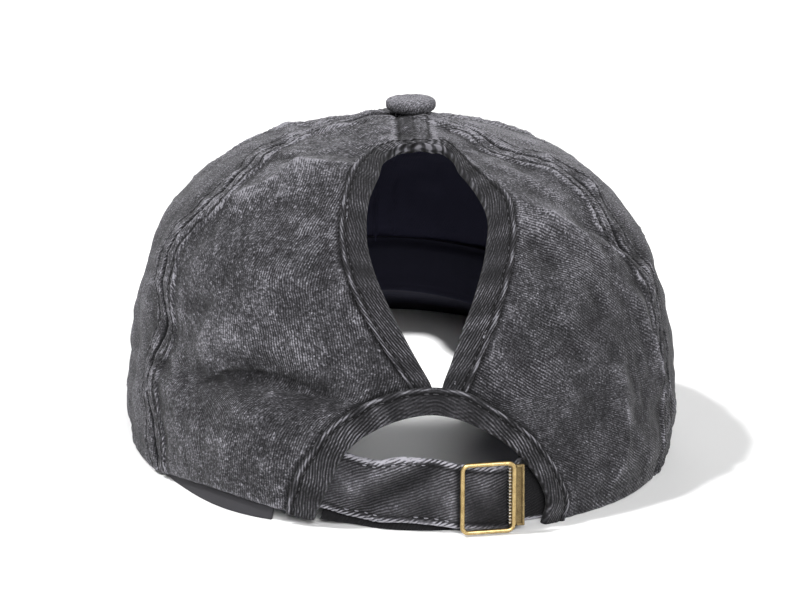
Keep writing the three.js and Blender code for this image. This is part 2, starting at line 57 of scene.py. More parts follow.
# ------------------------------------------------------------------- tables
def columns(text):
    """A table with named columns: the first line names them."""
    head, *rows = [line.split() for line in text.strip().splitlines()]
    data = np.array([[float(x) for x in r] for r in rows])
    return {name: data[:, i] for i, name in enumerate(head)}


# crown heights and half sizes, as in the CAD model
CROWN = columns("""
    v     z      side  back  front
    0.00  0.0    89.5  93.5  97.0
    0.08  11.0   90.4  94.0  98.0
    0.20  29.0   89.4  91.5  97.0
    0.35  50.0   86.0  86.0  94.0
    0.50  69.0   79.0  76.5  86.5
    0.64  84.0   67.5  63.5  74.0
    0.76  95.0   53.0  49.0  58.0
    0.88  103.5  32.0  29.0  34.0
    1.00  108.0  0.0   0.0   0.0
""")
FRONT_LIFT = 26.0
PANEL_TOP = 0.985

# the rim's departures from its outline
RIM = columns("""
    az   reach  out   up
    18   34     4.5   0.0
    -66  36     -3.0  0.0
    -43  36     0.0   5.0
    45   21     2.6   0.0
""")

# folds (+) and dents (-), strokes from one point to another
FOLDS = columns("""
    az0   v0     az1   v1     wide  deep
    -54   0.23   -30   0.295  6     -2.6
    -34   0.295  -20   0.27   5     -2.2
    -48   0.345  -24   0.37   9     1.8
    -57   0.68   -44   0.77   7     1.8
    -44   0.785  -28   0.80   6     1.6
    30    0.71   36    0.64   6     1.6
    37    0.635  51    0.535  6     1.8
    50    0.60   66    0.485  6     -2.0
    52    0.86   47    0.80   6     -1.6
    56    0.39   58    0.20   5     1.8
    42    0.24   38    0.04   6     1.6
    -66   0.36   -64   0.31   6     -1.2
    110   0.30   138   0.36   9     -2.4
    -112  0.42   -140  0.34   9     -2.2
    150   0.62   172   0.58   9     -1.8
    -170  0.45   -150  0.52   9     -1.6
""")

SEAMS = {
    "rearLeft": columns("""
        v     az
        0     -67
        0.2   -70.5
        0.36  -65
        0.445 -68.2
        0.51  -70.4
        0.578 -69.1
        0.62  -66.5
        0.674 -65.8
        0.713 -67.4
        0.763 -71.1
        0.806 -79.5
        0.838 -84.8
        0.885 -93.5
        0.92  -98
        1     -100
    """),
    "rearRight": columns("""
        v     az
        0     61
        0.16  63
        0.3   63.5
        0.352 65.6
        0.413 65.4
        0.473 64.2
        0.544 60.8
        0.609 60.3
        0.684 62.8
        0.745 60.8
        0.81  59.6
        0.866 59
        0.92  66
        1     76
    """),
    "frontLeft": columns("""
        v    az
        0    -124
        0.5  -124
        0.8  -130
        1    -142
    """),
    "frontRight": columns("""
        v    az
        0    123
        0.5  122
        1    128
    """),
    "front": columns("""
        v  az
        0  180
        1  180
    """),
    "back": columns("""
        v     az
        0     2
        0.86  6
        1     6
    """),
}

# teardrop opening: the binding's inner and outer edges as X at each height
TEARDROP = columns("""
    v      outL   inL    inR   outR  outV
    0.285  -4.6   1.2    3.6   11.0  0.285
    0.304  -6.2   0.5    4.3   12.4  0.304
    0.345  -10.2  -2.6   6.8   15.2  0.345
    0.40   -15.0  -6.6   9.9   19.6  0.40
    0.46   -19.4  -10.5  13.7  23.2  0.46
    0.53   -22.6  -14.1  17.4  26.6  0.53
    0.60   -24.0  -16.0  20.1  29.2  0.60
    0.66   -23.6  -16.0  21.3  29.4  0.66
    0.71   -22.4  -15.0  20.4  28.0  0.71
    0.76   -20.6  -12.8  17.4  23.6  0.76
    0.80   -18.2  -10.4  14.6  19.2  0.80
    0.84   -13.6  -8.4   13.2  15.6  0.845
    0.869  -8.0   -3.4   9.4   12.2  0.884
""")
TEARDROP_TOP = {"v": 0.8765, "x": 3.0, "outV": 0.894}

# half-moon opening, foot to crest
ARCH = columns("""
    inL    vInL   outL   vOutL  inR   vInR   outR  vOutR
    -34.2  0.000  -41.9  0.000  32.6  0.000  38.9  0.000
    -32.4  0.040  -41.2  0.045  33.9  0.045  40.3  0.040
    -29.6  0.090  -39.4  0.095  32.4  0.090  38.7  0.085
    -26.6  0.140  -34.8  0.152  27.3  0.142  34.6  0.141
    -21.6  0.182  -28.4  0.213  21.3  0.183  28.0  0.197
    -14.5  0.215  -19.0  0.262  13.8  0.215  19.4  0.246
    -7.0   0.235  -8.6   0.290  8.0   0.233  11.0  0.284
""")
ARCH_TOP = {"x": 1.0, "vIn": 0.2425, "vOut": 0.2975}

STRAP = columns("""
    x    low  high  n
    -46  5.4  24.6  -3.6
    -33  4.4  24.2  -3.6
    -25  2.6  22.9  -3.3
    -20  2.2  22.0  -2.5
    -16  2.0  21.6  -1.6
    -8   2.2  23.0  -1.0
    0    1.9  22.4  -0.8
    9    0.7  20.8  -0.4
    18   0.2  20.0  0.0
    24   0.5  20.2  -0.5
    27   1.6  22.0  -2.0
""")

# ------------------------------------------------------- the crown surface
DEG = math.pi / 180


def smooth(t):
    s = np.clip(t, 0, 1)
    return s * s * (3 - 2 * s)


def bump(d, wide):
    return np.exp(-((d / wide) ** 2))


def curve(x, y, t):
    """Monotone cubic through points, evaluated at t."""
    x, y, t = np.asarray(x, float), np.asarray(y, float), np.asarray(t, float)
    h = np.diff(x)
    s = np.diff(y) / h
    m = np.zeros(len(x))
    m[0], m[-1] = s[0], s[-1]
    for i in range(1, len(x) - 1):
        if s[i - 1] * s[i] > 0:
            m[i] = 3 * (h[i - 1] + h[i]) / ((2 * h[i] + h[i - 1]) / s[i - 1] + (h[i] + 2 * h[i - 1]) / s[i])
    i = np.clip(np.searchsorted(x, t, side="right") - 1, 0, len(x) - 2)
    u = np.clip((t - x[i]) / h[i], 0, 1)
    return ((2 * u**3 - 3 * u**2 + 1) * y[i] + (u**3 - 2 * u**2 + u) * h[i] * m[i]
            + (-2 * u**3 + 3 * u**2) * y[i + 1] + (u**3 - u**2) * h[i] * m[i + 1])


def crown(name, v):
    return curve(CROWN["v"], CROWN[name], v)


def turn(a):
    return (a + 180) % 360 - 180


def bare(az, v, rides=1.0):
    az, v = np.broadcast_arrays(np.asarray(az, float), np.asarray(v, float))
    c, s = np.cos(az * DEG), np.sin(az * DEG)
    side = crown("side", v)
    deep = np.where(c > 0, crown("back", v), crown("front", v))
    z = crown("z", v) + np.where(c < 0, FRONT_LIFT * c * c * (1 - v) ** 2, 0)
    for a, reach, out, up in zip(RIM["az"], RIM["reach"], RIM["out"], RIM["up"]):
        d = np.abs(turn(az - a)) / reach
        w = np.where(d < 1, np.cos(np.clip(d, 0, 1) * 90 * DEG) ** 2, 0) * (1 - smooth(v / 0.5))
        side = side + out * w
        deep = deep + out * w
        z = z + up * w * rides
    return np.stack([side * s + 0.5 * v * v, -deep * c, z], -1)


def stroke(az, v, az0, v0, az1, v1):
    """Distance from a stroke in millimetres, on the unrolled crown."""
    r = np.maximum(0.15, crown("side", v) / 90) * 88 * DEG
    px, py = turn(az - az0) * r, (v - v0) * 150
    qx, qy = turn(az1 - az0) * r, (v1 - v0) * 150
    t = np.clip((px * qx + py * qy) / (qx * qx + qy * qy), 0, 1)
    return np.hypot(px - qx * t, py - qy * t)


def fold(az, v):
    az, v = np.broadcast_arrays(np.asarray(az, float), np.asarray(v, float))
    total = np.zeros(az.shape)
    for a0, v0, a1, v1, wide, deep in zip(*[FOLDS[k] for k in ("az0", "v0", "az1", "v1", "wide", "deep")]):
        total += deep * bump(stroke(az, v, a0, v0, a1, v1), wide)
    return total * smooth(v / 0.1) * (1 - smooth((v - 0.9) / 0.08))


def normal(az, v):
    e = 0.004
    du = bare(az + 1, v) - bare(az - 1, v)
    dv = bare(az, np.minimum(1, v + e)) - bare(az, np.maximum(0, v - e))
    n = np.cross(du, dv)
    n /= np.linalg.norm(n, axis=-1, keepdims=True)
    n[..., 2] *= smooth(np.broadcast_to(v, n.shape[:-1]) / 0.08)
    return n / np.linalg.norm(n, axis=-1, keepdims=True)


def surface(az, v, n=0.0, rides=1.0):
    az, v = np.broadcast_arrays(np.asarray(az, float), np.asarray(v, float))
    return bare(az, v, rides) + normal(az, v) * (n + fold(az, v))[..., None]


def az_at(x, v):
    return np.arcsin(np.clip((x - 0.5 * v * v) / crown("side", v), -1, 1)) / DEG


def v_at(x, z):
    """Height parameter at which the back of the crown reaches z."""
    x, z = np.broadcast_arrays(np.asarray(x, float), np.asarray(z, float))
    lo, hi = np.zeros(x.shape), np.full(x.shape, 0.95)
    for _ in range(26):
        mid = (lo + hi) / 2
        low = bare(az_at(x, mid), mid)[..., 2] < z
        lo, hi = np.where(low, mid, lo), np.where(low, hi, mid)
    return (lo + hi) / 2


def seam_az(name, v):
    return curve(SEAMS[name]["v"], SEAMS[name]["az"], v)


class Noise:
    """Smooth noise from a few seeded waves, about -1 to 1, in millimetres."""

    def __init__(self, seed, size, waves=14, dims=3):
        r = np.random.default_rng(seed)
        d = r.normal(size=(waves, dims))
        d /= np.linalg.norm(d, axis=1, keepdims=True)
        self.k = d * (2 * math.pi / (size * r.uniform(0.7, 1.6, size=(waves, 1))))
        self.p = r.uniform(0, 2 * math.pi, waves)
        self.gain = 1.0 / math.sqrt(waves / 2)

    def __call__(self, p):
        return np.cos(p @ self.k.T + self.p).sum(-1) * self.gain


SOFT = Noise(3, 34)
CREASE = Noise(5, 13)
FINE = Noise(7, 5.5)
TINY = Noise(11, 2.4)
RIDGE = Noise(19, 26)
RIDGE2 = Noise(23, 40)
ALONG = Noise(13, 9.0, dims=1)
ALONG2 = Noise(17, 21.0, dims=1)


# ------------------------------------------------------------- mesh makers
def add_object(name, points, faces, attributes=None, materials=(), slots=None, smooth_faces=True):
    """A mesh in the model's metres from points in millimetres."""
    p = np.asarray(points, float)
    quads = [f for f in faces if f is not None]
    mesh = bpy.data.meshes.new(name)
    mesh.from_pydata(part(p).tolist(), [], quads)
    mesh.validate()
    mesh.update()
    for key, values in (attributes or {}).items():
        values = np.asarray(values, np.float32)
        kind = "FLOAT_VECTOR" if values.ndim == 2 else "FLOAT"
        made = mesh.attributes.new(key, kind, "POINT")
        made.data.foreach_set("vector" if kind == "FLOAT_VECTOR" else "value", values.ravel())
    for m in materials:
        mesh.materials.append(m)
    if slots is not None:
        mesh.polygons.foreach_set("material_index", np.asarray(slots, np.int32))
    mesh.polygons.foreach_set("use_smooth", np.full(len(mesh.polygons), smooth_faces))
    obj = bpy.data.objects.new(name, mesh)
    bpy.context.scene.collection.objects.link(obj)
    return obj


def volume(points, faces):
    """Signed volume of a closed mesh of quads and triangles."""
    total = 0.0
    quads = np.array([f for f in faces if len(f) == 4])
    tris = [f for f in faces if len(f) == 3]
    if len(quads):
        a, b, c, d = (points[quads[:, i]] for i in range(4))
        total += (a * np.cross(b, c)).sum() + (a * np.cross(c, d)).sum()
    if tris:
        t = np.array(tris)
        a, b, c = (points[t[:, i]] for i in range(3))
        total += (a * np.cross(b, c)).sum()
    return total / 6


def grid_faces(rows, cols, base=0, flip=False):
    i, j = np.meshgrid(np.arange(rows - 1), np.arange(cols - 1), indexing="ij")
    a = base + i * cols + j
    q = np.stack([a, a + 1, a + cols + 1, a + cols], -1).reshape(-1, 4)
    return q[:, ::-1] if flip else q


def wall_faces(rows, cols):
    """Faces of a wall between two sheets of points: outer, inner, then the four edges."""
    m = rows * cols
    out = [grid_faces(rows, cols), grid_faces(rows, cols, m, True)]
    i = np.arange(rows - 1)
    for j, flip in ((0, True), (cols - 1, False)):
        a = i * cols + j
        q = np.stack([a, a + m, a + m + cols, a + cols], -1)
        out.append(q[:, ::-1] if flip else q)
    j = np.arange(cols - 1)
    for i0, flip in ((0, False), (rows - 1, True)):
        a = i0 * cols + j
        q = np.stack([a, a + m, a + m + 1, a + 1], -1)
        out.append(q[:, ::-1] if flip else q)
    return out


def wall(name, outer, inner, attributes, materials):
    """A closed cloth wall; the inner sheet takes the second material."""
    rows, cols = outer.shape[:2]
    points = np.concatenate([outer.reshape(-1, 3), inner.reshape(-1, 3)])
    parts = wall_faces(rows, cols)
    slots = np.concatenate([np.full(len(q), 1 if k == 1 and len(materials) > 1 else 0) for k, q in enumerate(parts)])
    faces = np.concatenate(parts)
    if volume(points, faces.tolist()) < 0:
        faces = faces[:, ::-1]
    both = {}
    for key, value in attributes.items():
        flat = value.reshape(-1, 3) if value.ndim == 3 else value.ravel()
        both[key] = np.concatenate([flat, flat])
    return add_object(name, points, faces.tolist(), both, materials, slots)


def tube(name, rings, attributes, materials, closed=False, caps=True):
    """A closed section carried along a line: rings is stations x section x 3."""
    n, m = rings.shape[:2]
    points = rings.reshape(-1, 3)
    k = np.arange(m)
    faces = []
    for i in range(n if closed else n - 1):
        j = (i + 1) % n
        a, b = i * m + k, i * m + (k + 1) % m
        faces.append(np.stack([a, b, j * m + (k + 1) % m, j * m + k], -1))
    faces = np.concatenate(faces).tolist()
    if not closed and caps:
        faces.append(list(range(m))[::-1])
        faces.append([(n - 1) * m + q for q in range(m)])
    body = [f for f in faces if len(f) == 4]
    if volume(points, body) < 0:
        faces = [f[::-1] for f in faces]
    flat = {key: (v.reshape(-1, 3) if v.ndim == 3 else v.ravel()) for key, v in attributes.items()}
    return add_object(name, points, faces, flat, materials)


def arc_length(line):
    return np.concatenate([[0], np.cumsum(np.linalg.norm(np.diff(line, axis=0), axis=-1))])


# --------------------------------------------------------------- materials
class Nodes:
    """Short hand for a node tree."""

    def __init__(self, name):
        self.material = bpy.data.materials.new(name)
        self.material.use_nodes = True
        self.tree = self.material.node_tree
        self.tree.nodes.clear()

    def node(self, kind, **props):
        n = self.tree.nodes.new(kind)
        for k, v in props.items():
            setattr(n, k, v)
        return n

    def put(self, value, socket):
        if hasattr(value, "is_output"):
            self.tree.links.new(value, socket)
        else:
            socket.default_value = value

    def math(self, op, a, b=0.0, c=0.0, clamp=False):
        n = self.node("ShaderNodeMath", operation=op, use_clamp=clamp)
        for value, socket in zip((a, b, c), n.inputs):
            self.put(value, socket)
        return n.outputs[0]

    def noise(self, vector, scale, detail=2.0, rough=0.5, distortion=0.0):
        n = self.node("ShaderNodeTexNoise")
        self.put(vector, n.inputs["Vector"])
        n.inputs["Scale"].default_value = scale
        n.inputs["Detail"].default_value = detail
        n.inputs["Roughness"].default_value = rough
        n.inputs["Distortion"].default_value = distortion
        return n.outputs["Fac"]

    def attribute(self, name):
        return self.node("ShaderNodeAttribute", attribute_name=name)

    def ramp(self, fac, stops):
        n = self.node("ShaderNodeValToRGB")
        self.put(fac, n.inputs[0])
        e = n.color_ramp.elements
        while len(e) < len(stops):
            e.new(0.5)
        for item, (at, colour) in zip(e, stops):
            item.position = at
            item.color = (*colour, 1)
        return n.outputs[0]

    def finish(self, colour, roughness, height=None, distance=0.0001, strength=1.0, **sockets):
        bsdf = self.node("ShaderNodeBsdfPrincipled")
        self.put(colour, bsdf.inputs["Base Color"])
        self.put(roughness, bsdf.inputs["Roughness"])
        for k, v in sockets.items():
            bsdf.inputs[k.replace("_", " ")].default_value = v
        if height is not None:
            b = self.node("ShaderNodeBump")
            b.inputs["Strength"].default_value = strength
            b.inputs["Distance"].default_value = distance
            self.put(height, b.inputs["Height"])
            self.tree.links.new(b.outputs[0], bsdf.inputs["Normal"])
        out = self.node("ShaderNodeOutputMaterial")
        self.tree.links.new(bsdf.outputs[0], out.inputs["Surface"])
        return self.material


def twill(name, stops, pitch=0.80, tilt=58.0, weave=0.14, speckle=0.5, patch=0.10, wash=0.10,
          wear=0.5, bump_mm=0.16, rough=0.92, sheen=0.06, lint=0.5):
    """Washed twill. The attribute cloth holds millimetres across and along the
    piece. The wear attribute holds both rubbing, pale (+), and painted light
    and shade: painted shade (-) in folds, ditches, grooves and hollows, and
    painted light (+) on raised folds, ridges and tops."""
    t = Nodes(name)
    cloth = t.attribute("cloth").outputs["Vector"]
    worn_and_shaded = t.attribute("wear").outputs["Fac"]
    sep = t.node("ShaderNodeSeparateXYZ")
    t.put(cloth, sep.inputs[0])
    x, y = sep.outputs[0], sep.outputs[1]
    ca, sa = math.cos(tilt * DEG), math.sin(tilt * DEG)
    wander = t.noise(cloth, 0.18, 2.0)
    across = t.math("ADD", t.math("MULTIPLY", x, sa / pitch), t.math("MULTIPLY", y, -ca / pitch))
    phase = t.math("ADD", across, t.math("MULTIPLY", wander, 1.4))
    rib = t.math("SINE", t.math("MULTIPLY", phase, 2 * math.pi))
    # the diagonal shows clearly in some places and is worn away in others
    clear = t.math("MULTIPLY", t.math("SUBTRACT", t.noise(cloth, 0.05, 2.0), 0.30), 2.4, clamp=True)
    threads = t.math("MULTIPLY", rib, t.math("ADD", 0.25, clear))
    fine = t.math("SUBTRACT", t.noise(cloth, 1.75, 1.0, 0.6), 0.5)
    grain = t.math("SUBTRACT", t.noise(cloth, 0.95, 2.0, 0.7), 0.5)
    mottle = t.math("SUBTRACT", t.noise(cloth, 0.30, 3.0, 0.6), 0.5)
    cloudy = t.math("SUBTRACT", t.noise(cloth, 0.05, 3.0, 0.55), 0.5)
    specks = t.math("MULTIPLY", t.math("SUBTRACT", t.noise(cloth, 1.25, 0.0), 0.76), 9.0, clamp=True)
    b = t.math("ADD", 0.5, t.math("MULTIPLY", threads, weave))
    b = t.math("ADD", b, t.math("MULTIPLY", fine, speckle * 2.0))
    b = t.math("ADD", b, t.math("MULTIPLY", grain, speckle * 1.5))
    b = t.math("ADD", b, t.math("MULTIPLY", mottle, patch * 2))
    b = t.math("ADD", b, t.math("MULTIPLY", cloudy, wash * 2))
    b = t.math("ADD", b, t.math("MULTIPLY", specks, lint))
    b = t.math("ADD", b, t.math("MULTIPLY", worn_and_shaded, wear), clamp=True)
    colour = t.ramp(b, stops)
    height = t.math("ADD", t.math("MULTIPLY", threads, 0.5), t.math("MULTIPLY", grain, 1.6))
    roughness = t.math("SUBTRACT", rough, t.math("MULTIPLY", b, 0.08))
    return t.finish(colour, roughness, height, bump_mm * 0.001, 1.0,
                    Specular_IOR_Level=0.12, Sheen_Weight=sheen, Sheen_Roughness=0.5)


def greys(*levels):
    """Charcoal stops: (position, linear level), a little blue."""
    return [(at, (g * 0.975, g * 0.955, g * 1.06)) for at, g in levels]


def navy(*levels):
    return [(at, (g * 0.86, g * 0.85, g * 1.55)) for at, g in levels]


TWILL = twill("washed_twill", greys((0.0, 0.010), (0.28, 0.020), (0.52, 0.042), (0.76, 0.108), (1.0, 0.26)),
              weave=0.20, speckle=0.63, patch=0.08, wash=0.12)
TWILL_IN = twill("twill_wrong_side", navy((0.0, 0.028), (0.5, 0.034), (1.0, 0.040)), wear=0.05, sheen=0.0, bump_mm=0.05,
                 speckle=0.1, lint=0.0)
UNDER = twill("brim_lining", navy((0.0, 0.009), (0.5, 0.012), (1.0, 0.016)), wear=0.05, sheen=0.0, bump_mm=0.05,
              speckle=0.1, lint=0.0)
BAND_OUT = twill("band_outer_face", greys((0.0, 0.030), (0.5, 0.042), (1.0, 0.06)), pitch=0.5, weave=0.04, speckle=0.06,
                 wear=0.2, bump_mm=0.04, lint=0.0)
# the strap's twill painted several times darker for its free end: painted shade, as it lies behind the strap
TAIL_SHADED_TWILL = twill("free_end_painted_shade_twill", greys((0.0, 0.006), (0.5, 0.012), (1.0, 0.03)), pitch=0.85, weave=0.12, speckle=0.2,
                   wear=0.3, bump_mm=0.1, lint=0.0)
BIAS = twill("bias_twill", greys((0.0, 0.005), (0.30, 0.011), (0.55, 0.024), (0.78, 0.064), (1.0, 0.20)),
             pitch=0.86, tilt=74.0, weave=0.26, speckle=0.22, patch=0.08, wear=0.6, bump_mm=0.2, lint=0.2)
STRAP_TWILL = twill("strap_twill", greys((0.0, 0.010), (0.30, 0.024), (0.52, 0.050), (0.75, 0.12), (1.0, 0.36)),
                    pitch=0.82, tilt=21.0, weave=0.27, speckle=0.24, wear=0.8, bump_mm=0.22, lint=0.2)
BAND = twill("inner_cotton", navy((0.0, 0.014), (0.5, 0.017), (1.0, 0.021)), pitch=0.5, weave=0.04, speckle=0.06,
             wear=0.2, bump_mm=0.04, lint=0.0)


def thread_material(name, level):
    t = Nodes(name)
    place = t.attribute("cloth").outputs["Vector"]
    sep = t.node("ShaderNodeSeparateXYZ")
    t.put(place, sep.inputs[0])
    ply = t.math("SINE", t.math("ADD", t.math("MULTIPLY", sep.outputs[1], 14.0), t.math("MULTIPLY", sep.outputs[0], 6.0)))
    vary = t.math("SUBTRACT", t.noise(place, 0.8, 2.0), 0.5)
    b = t.math("ADD", t.math("ADD", 0.5, t.math("MULTIPLY", ply, 0.18)), t.math("MULTIPLY", vary, 0.9), clamp=True)
    return t.finish(t.ramp(b, greys((0.0, level * 0.45), (1.0, level * 1.5))), 0.75, ply, 0.00006, 0.6,
                    Specular_IOR_Level=0.25, Sheen_Weight=0.1, Sheen_Roughness=0.4)


THREAD = thread_material("tonal_thread", 0.055)
THREAD_PALE = thread_material("worn_thread", 0.26)


def brass_material(name, colours, rough=0.32, grain=0.25):
    t = Nodes(name)
    place = t.attribute("cloth").outputs["Vector"]
    worn_and_shaded = t.attribute("wear").outputs["Fac"]
    blot = t.noise(place, 0.45, 4.0, 0.6)
    pits = t.noise(place, 3.4, 3.0, 0.6)
    lines = t.noise(place, 1.3, 2.0, 0.5, 0.8)
    b = t.math("ADD", t.math("MULTIPLY", t.math("SUBTRACT", blot, 0.5), 1.1), t.math("MULTIPLY", t.math("SUBTRACT", pits, 0.5), 1.4))
    b = t.math("ADD", t.math("ADD", b, 0.5), t.math("MULTIPLY", worn_and_shaded, 0.5), clamp=True)
    roughness = t.math("ADD", rough, t.math("MULTIPLY", t.math("SUBTRACT", pits, 0.5), grain))
    roughness = t.math("SUBTRACT", roughness, t.math("MULTIPLY", worn_and_shaded, 0.08), clamp=True)
    return t.finish(t.ramp(b, colours), roughness, t.math("ADD", pits, t.math("MULTIPLY", lines, 0.4)), 0.00004, 0.5, Metallic=1.0)


BRASS = brass_material("antique_brass", [(0.0, (0.16, 0.105, 0.04)), (0.5, (0.36, 0.255, 0.11)), (1.0, (0.66, 0.50, 0.24))])
BRASS_PLATE = brass_material("dull_brass", [(0.0, (0.10, 0.07, 0.032)), (0.5, (0.19, 0.14, 0.068)), (1.0, (0.34, 0.26, 0.13))], 0.42)
# the clamp's teeth: a pale, near-white metal
BRASS_TIPS = brass_material("pale_tips", [(0.0, (0.55, 0.53, 0.48)), (1.0, (0.90, 0.88, 0.84))], 0.35)


# -------------------------------------------------- relief of seams and hems
# seam: half width of the raised band, distance of the stitch rows from the
# ditch, stitch length
FELL = {"band": 6.0, "row": 4.9, "stitch": 2.7}
PANEL_SEAMS = ("rearLeft", "rearRight", "frontLeft", "frontRight", "front", "back")


def metric(az, v):
    """Millimetres of surface for one degree of azimuth."""
    return np.linalg.norm(bare(az + 0.5, v) - bare(az - 0.5, v), axis=-1)


def height_mm(v):
    """Length of cloth from the rim up to v, down the middle of the back."""
    t = np.linspace(0, 1, 400)
    s = arc_length(bare(np.zeros(400), t))
    return np.interp(v, t, s)


def seam_relief(ds, s, seed):
    """Height of the cloth at ds from a seam's ditch, s along it, and how rubbed pale or painted with light and shade it
    is.
    """
    a = np.abs(ds)
    drift = ALONG((s + 31 * seed)[..., None])
    drift2 = ALONG2((s + 57 * seed)[..., None])
    band = FELL["band"] + 0.5 * drift2
    row = FELL["row"] + 0.25 * drift2
    high = 0.95 * (1 - smooth((a - band) / 1.2))
    ditch = -1.55 * bump(a, 0.6) - 0.3 * bump(a, 1.5)
    stitched = 0.75 + 0.25 * np.cos(2 * math.pi * s / FELL["stitch"])
    rows = -0.72 * bump(a - row, 0.6) * stitched
    wave = np.sin(2 * math.pi * s / 7.2 + 2.2 * drift + 1.2 * np.sign(ds))
    pucker = 0.18 * wave * bump(a - 2.8, 2.0) + 0.14 * np.sin(2 * math.pi * s / 4.1 + 3 * drift2) * bump(a - 6.8, 1.8)
    rubbed = 0.75 + 0.45 * drift
    lines = 0.19 * np.cos(2 * math.pi * (a / 1.5 + 0.5 * drift2)) * (1 - smooth((a - 7.5) / 2.0)) * smooth((a - 1.0) / 0.6)
    # the ridges beside the ditch, the rows and the band are rubbed pale; painted shade darkens the ditch, the stitch
    # rows and the cloth just past the band, and the puckers are painted lighter and darker with their light and shade
    wear = (rubbed * (0.66 * bump(a - band - 0.2, 0.55) + 0.56 * bump(a - 1.35, 0.5) + 0.34 * bump(a - row + 1.2, 0.45)) + lines
            - 1.6 * bump(a, 0.7) - 1.15 * bump(a - row, 0.5) + 0.24 * wave * bump(a - 2.8, 2.0)
            - 0.38 * bump(a - band - 2.0, 1.1))
    return high + ditch + rows + pucker, wear


# thin creases of the cloth: azimuth and height from point to point, half width
# in millimetres, height, and how far painted pale (+), partly rubbing and partly painted light, or painted dark with
# shade (-)
CREASES = columns("""
    az0    v0     az1    v1     wide  high   wear
    28     0.720  36     0.640  0.9   0.55   0.45
    36     0.640  51     0.536  0.9   0.60   0.50
    51     0.536  60     0.500  0.9   0.50   0.40
    -57    0.680  -44    0.785  1.2   0.40   0.35
    -44    0.785  -26    0.814  1.2   0.40   0.35
    -51    0.234  -43    0.281  1.3   -0.75  -0.60
    -43    0.281  -36    0.296  1.3   -0.85  -0.65
    -36    0.296  -28    0.291  1.2   -0.75  -0.60
    -28    0.291  -21    0.281  1.0   -0.50  -0.45
    -50    0.252  -40    0.305  1.2   0.35   0.30
    -40    0.305  -27    0.307  1.2   0.35   0.30
    56     0.390  57     0.310  1.1   0.60   0.45
    57     0.310  58     0.210  1.1   0.60   0.45
    42     0.234  42     0.130  1.0   0.55   0.45
    42     0.130  37     0.030  1.0   0.50   0.40
    53     0.400  54     0.240  1.4   -0.55  -0.40
    48     0.330  49     0.190  1.2   0.35   0.28
    52     0.845  40     0.880  1.2   -0.50  -0.45
    50     0.600  66     0.485  1.3   -0.60  -0.45
    -20    0.740  -34    0.660  1.4   0.25   0.18
    -30    0.560  -44    0.500  1.6   0.25   0.14
    26     0.400  38     0.350  1.5   -0.35  -0.22
    30     0.300  44     0.280  1.4   0.35   0.20
    -58    0.160  -46    0.110  1.4   0.35   0.22
    -44    0.140  -33    0.180  1.4   -0.35  -0.22
    -60    0.460  -50    0.420  1.4   -0.35  -0.22
    100    0.550  128    0.500  1.4   0.50   0.30
    -100   0.300  -118   0.220  1.4   0.50   0.30
    140    0.250  165    0.300  1.4   -0.50  -0.30
    -150   0.300  -170   0.240  1.4   0.50   0.30
""")


def edge_line(side, which, count=260):
    """A binding's line on the back half of the crown, bottom to top, in millimetres."""
    if which == "tear":
        v = np.append(TEARDROP["outV"], TEARDROP_TOP["outV"])
        x = np.append(TEARDROP[f"out{side}"], TEARDROP_TOP["x"])
    else:
        v = np.append(ARCH[f"vOut{side}"], ARCH_TOP["vOut"])
        x = np.append(ARCH[f"out{side}"], ARCH_TOP["x"])
    t = np.linspace(0, 1, len(v))
    u = np.linspace(0, 1, count)
    x, v = curve(t, x, u), curve(t, v, u)
    return bare(az_at(x, v), v)


def nearest(points, line):
    """Distance to a line of points and the length along it, for many points."""
    flat = points.reshape(-1, 3)
    s = arc_length(line)
    best = np.full(len(flat), 1e9)
    at = np.zeros(len(flat))
    for i in range(0, len(flat), 4000):
        d = np.linalg.norm(flat[i:i + 4000, None] - line[None], axis=-1)
        k = d.argmin(1)
        best[i:i + 4000] = d[np.arange(len(k)), k]
        at[i:i + 4000] = s[k]
    return best.reshape(points.shape[:-1]), at.reshape(points.shape[:-1])


def wrinkle(base):
    """Thin raised lines where smooth noise crosses zero, 0 to 1."""
    warped = base + 3.0 * np.stack([CREASE(base), CREASE(base + 40), CREASE(base - 40)], -1)
    return np.clip(1 - np.abs(RIDGE(warped)) * 5.0, 0, 1) ** 2 * smooth((RIDGE2(base) + 0.1) / 0.8)


def rumple(base, v):
    """The cloth's soft unevenness."""
    soft = 0.45 * SOFT(base) * smooth(v / 0.1) * (1 - smooth((v - 0.86) / 0.1))
    crease = 0.30 * CREASE(base) * smooth(v / 0.06)
    ease = -1.9 * bump(v - 0.868, 0.055) + 1.1 * smooth((v - 0.92) / 0.045)
    ease = ease + 1.5 * smooth((-base[..., 0] - 38) / 25) * bump(v - 0.62, 0.20)
    return soft + crease + 0.10 * FINE(base) + 0.35 * wrinkle(base) * smooth(v / 0.06) + ease


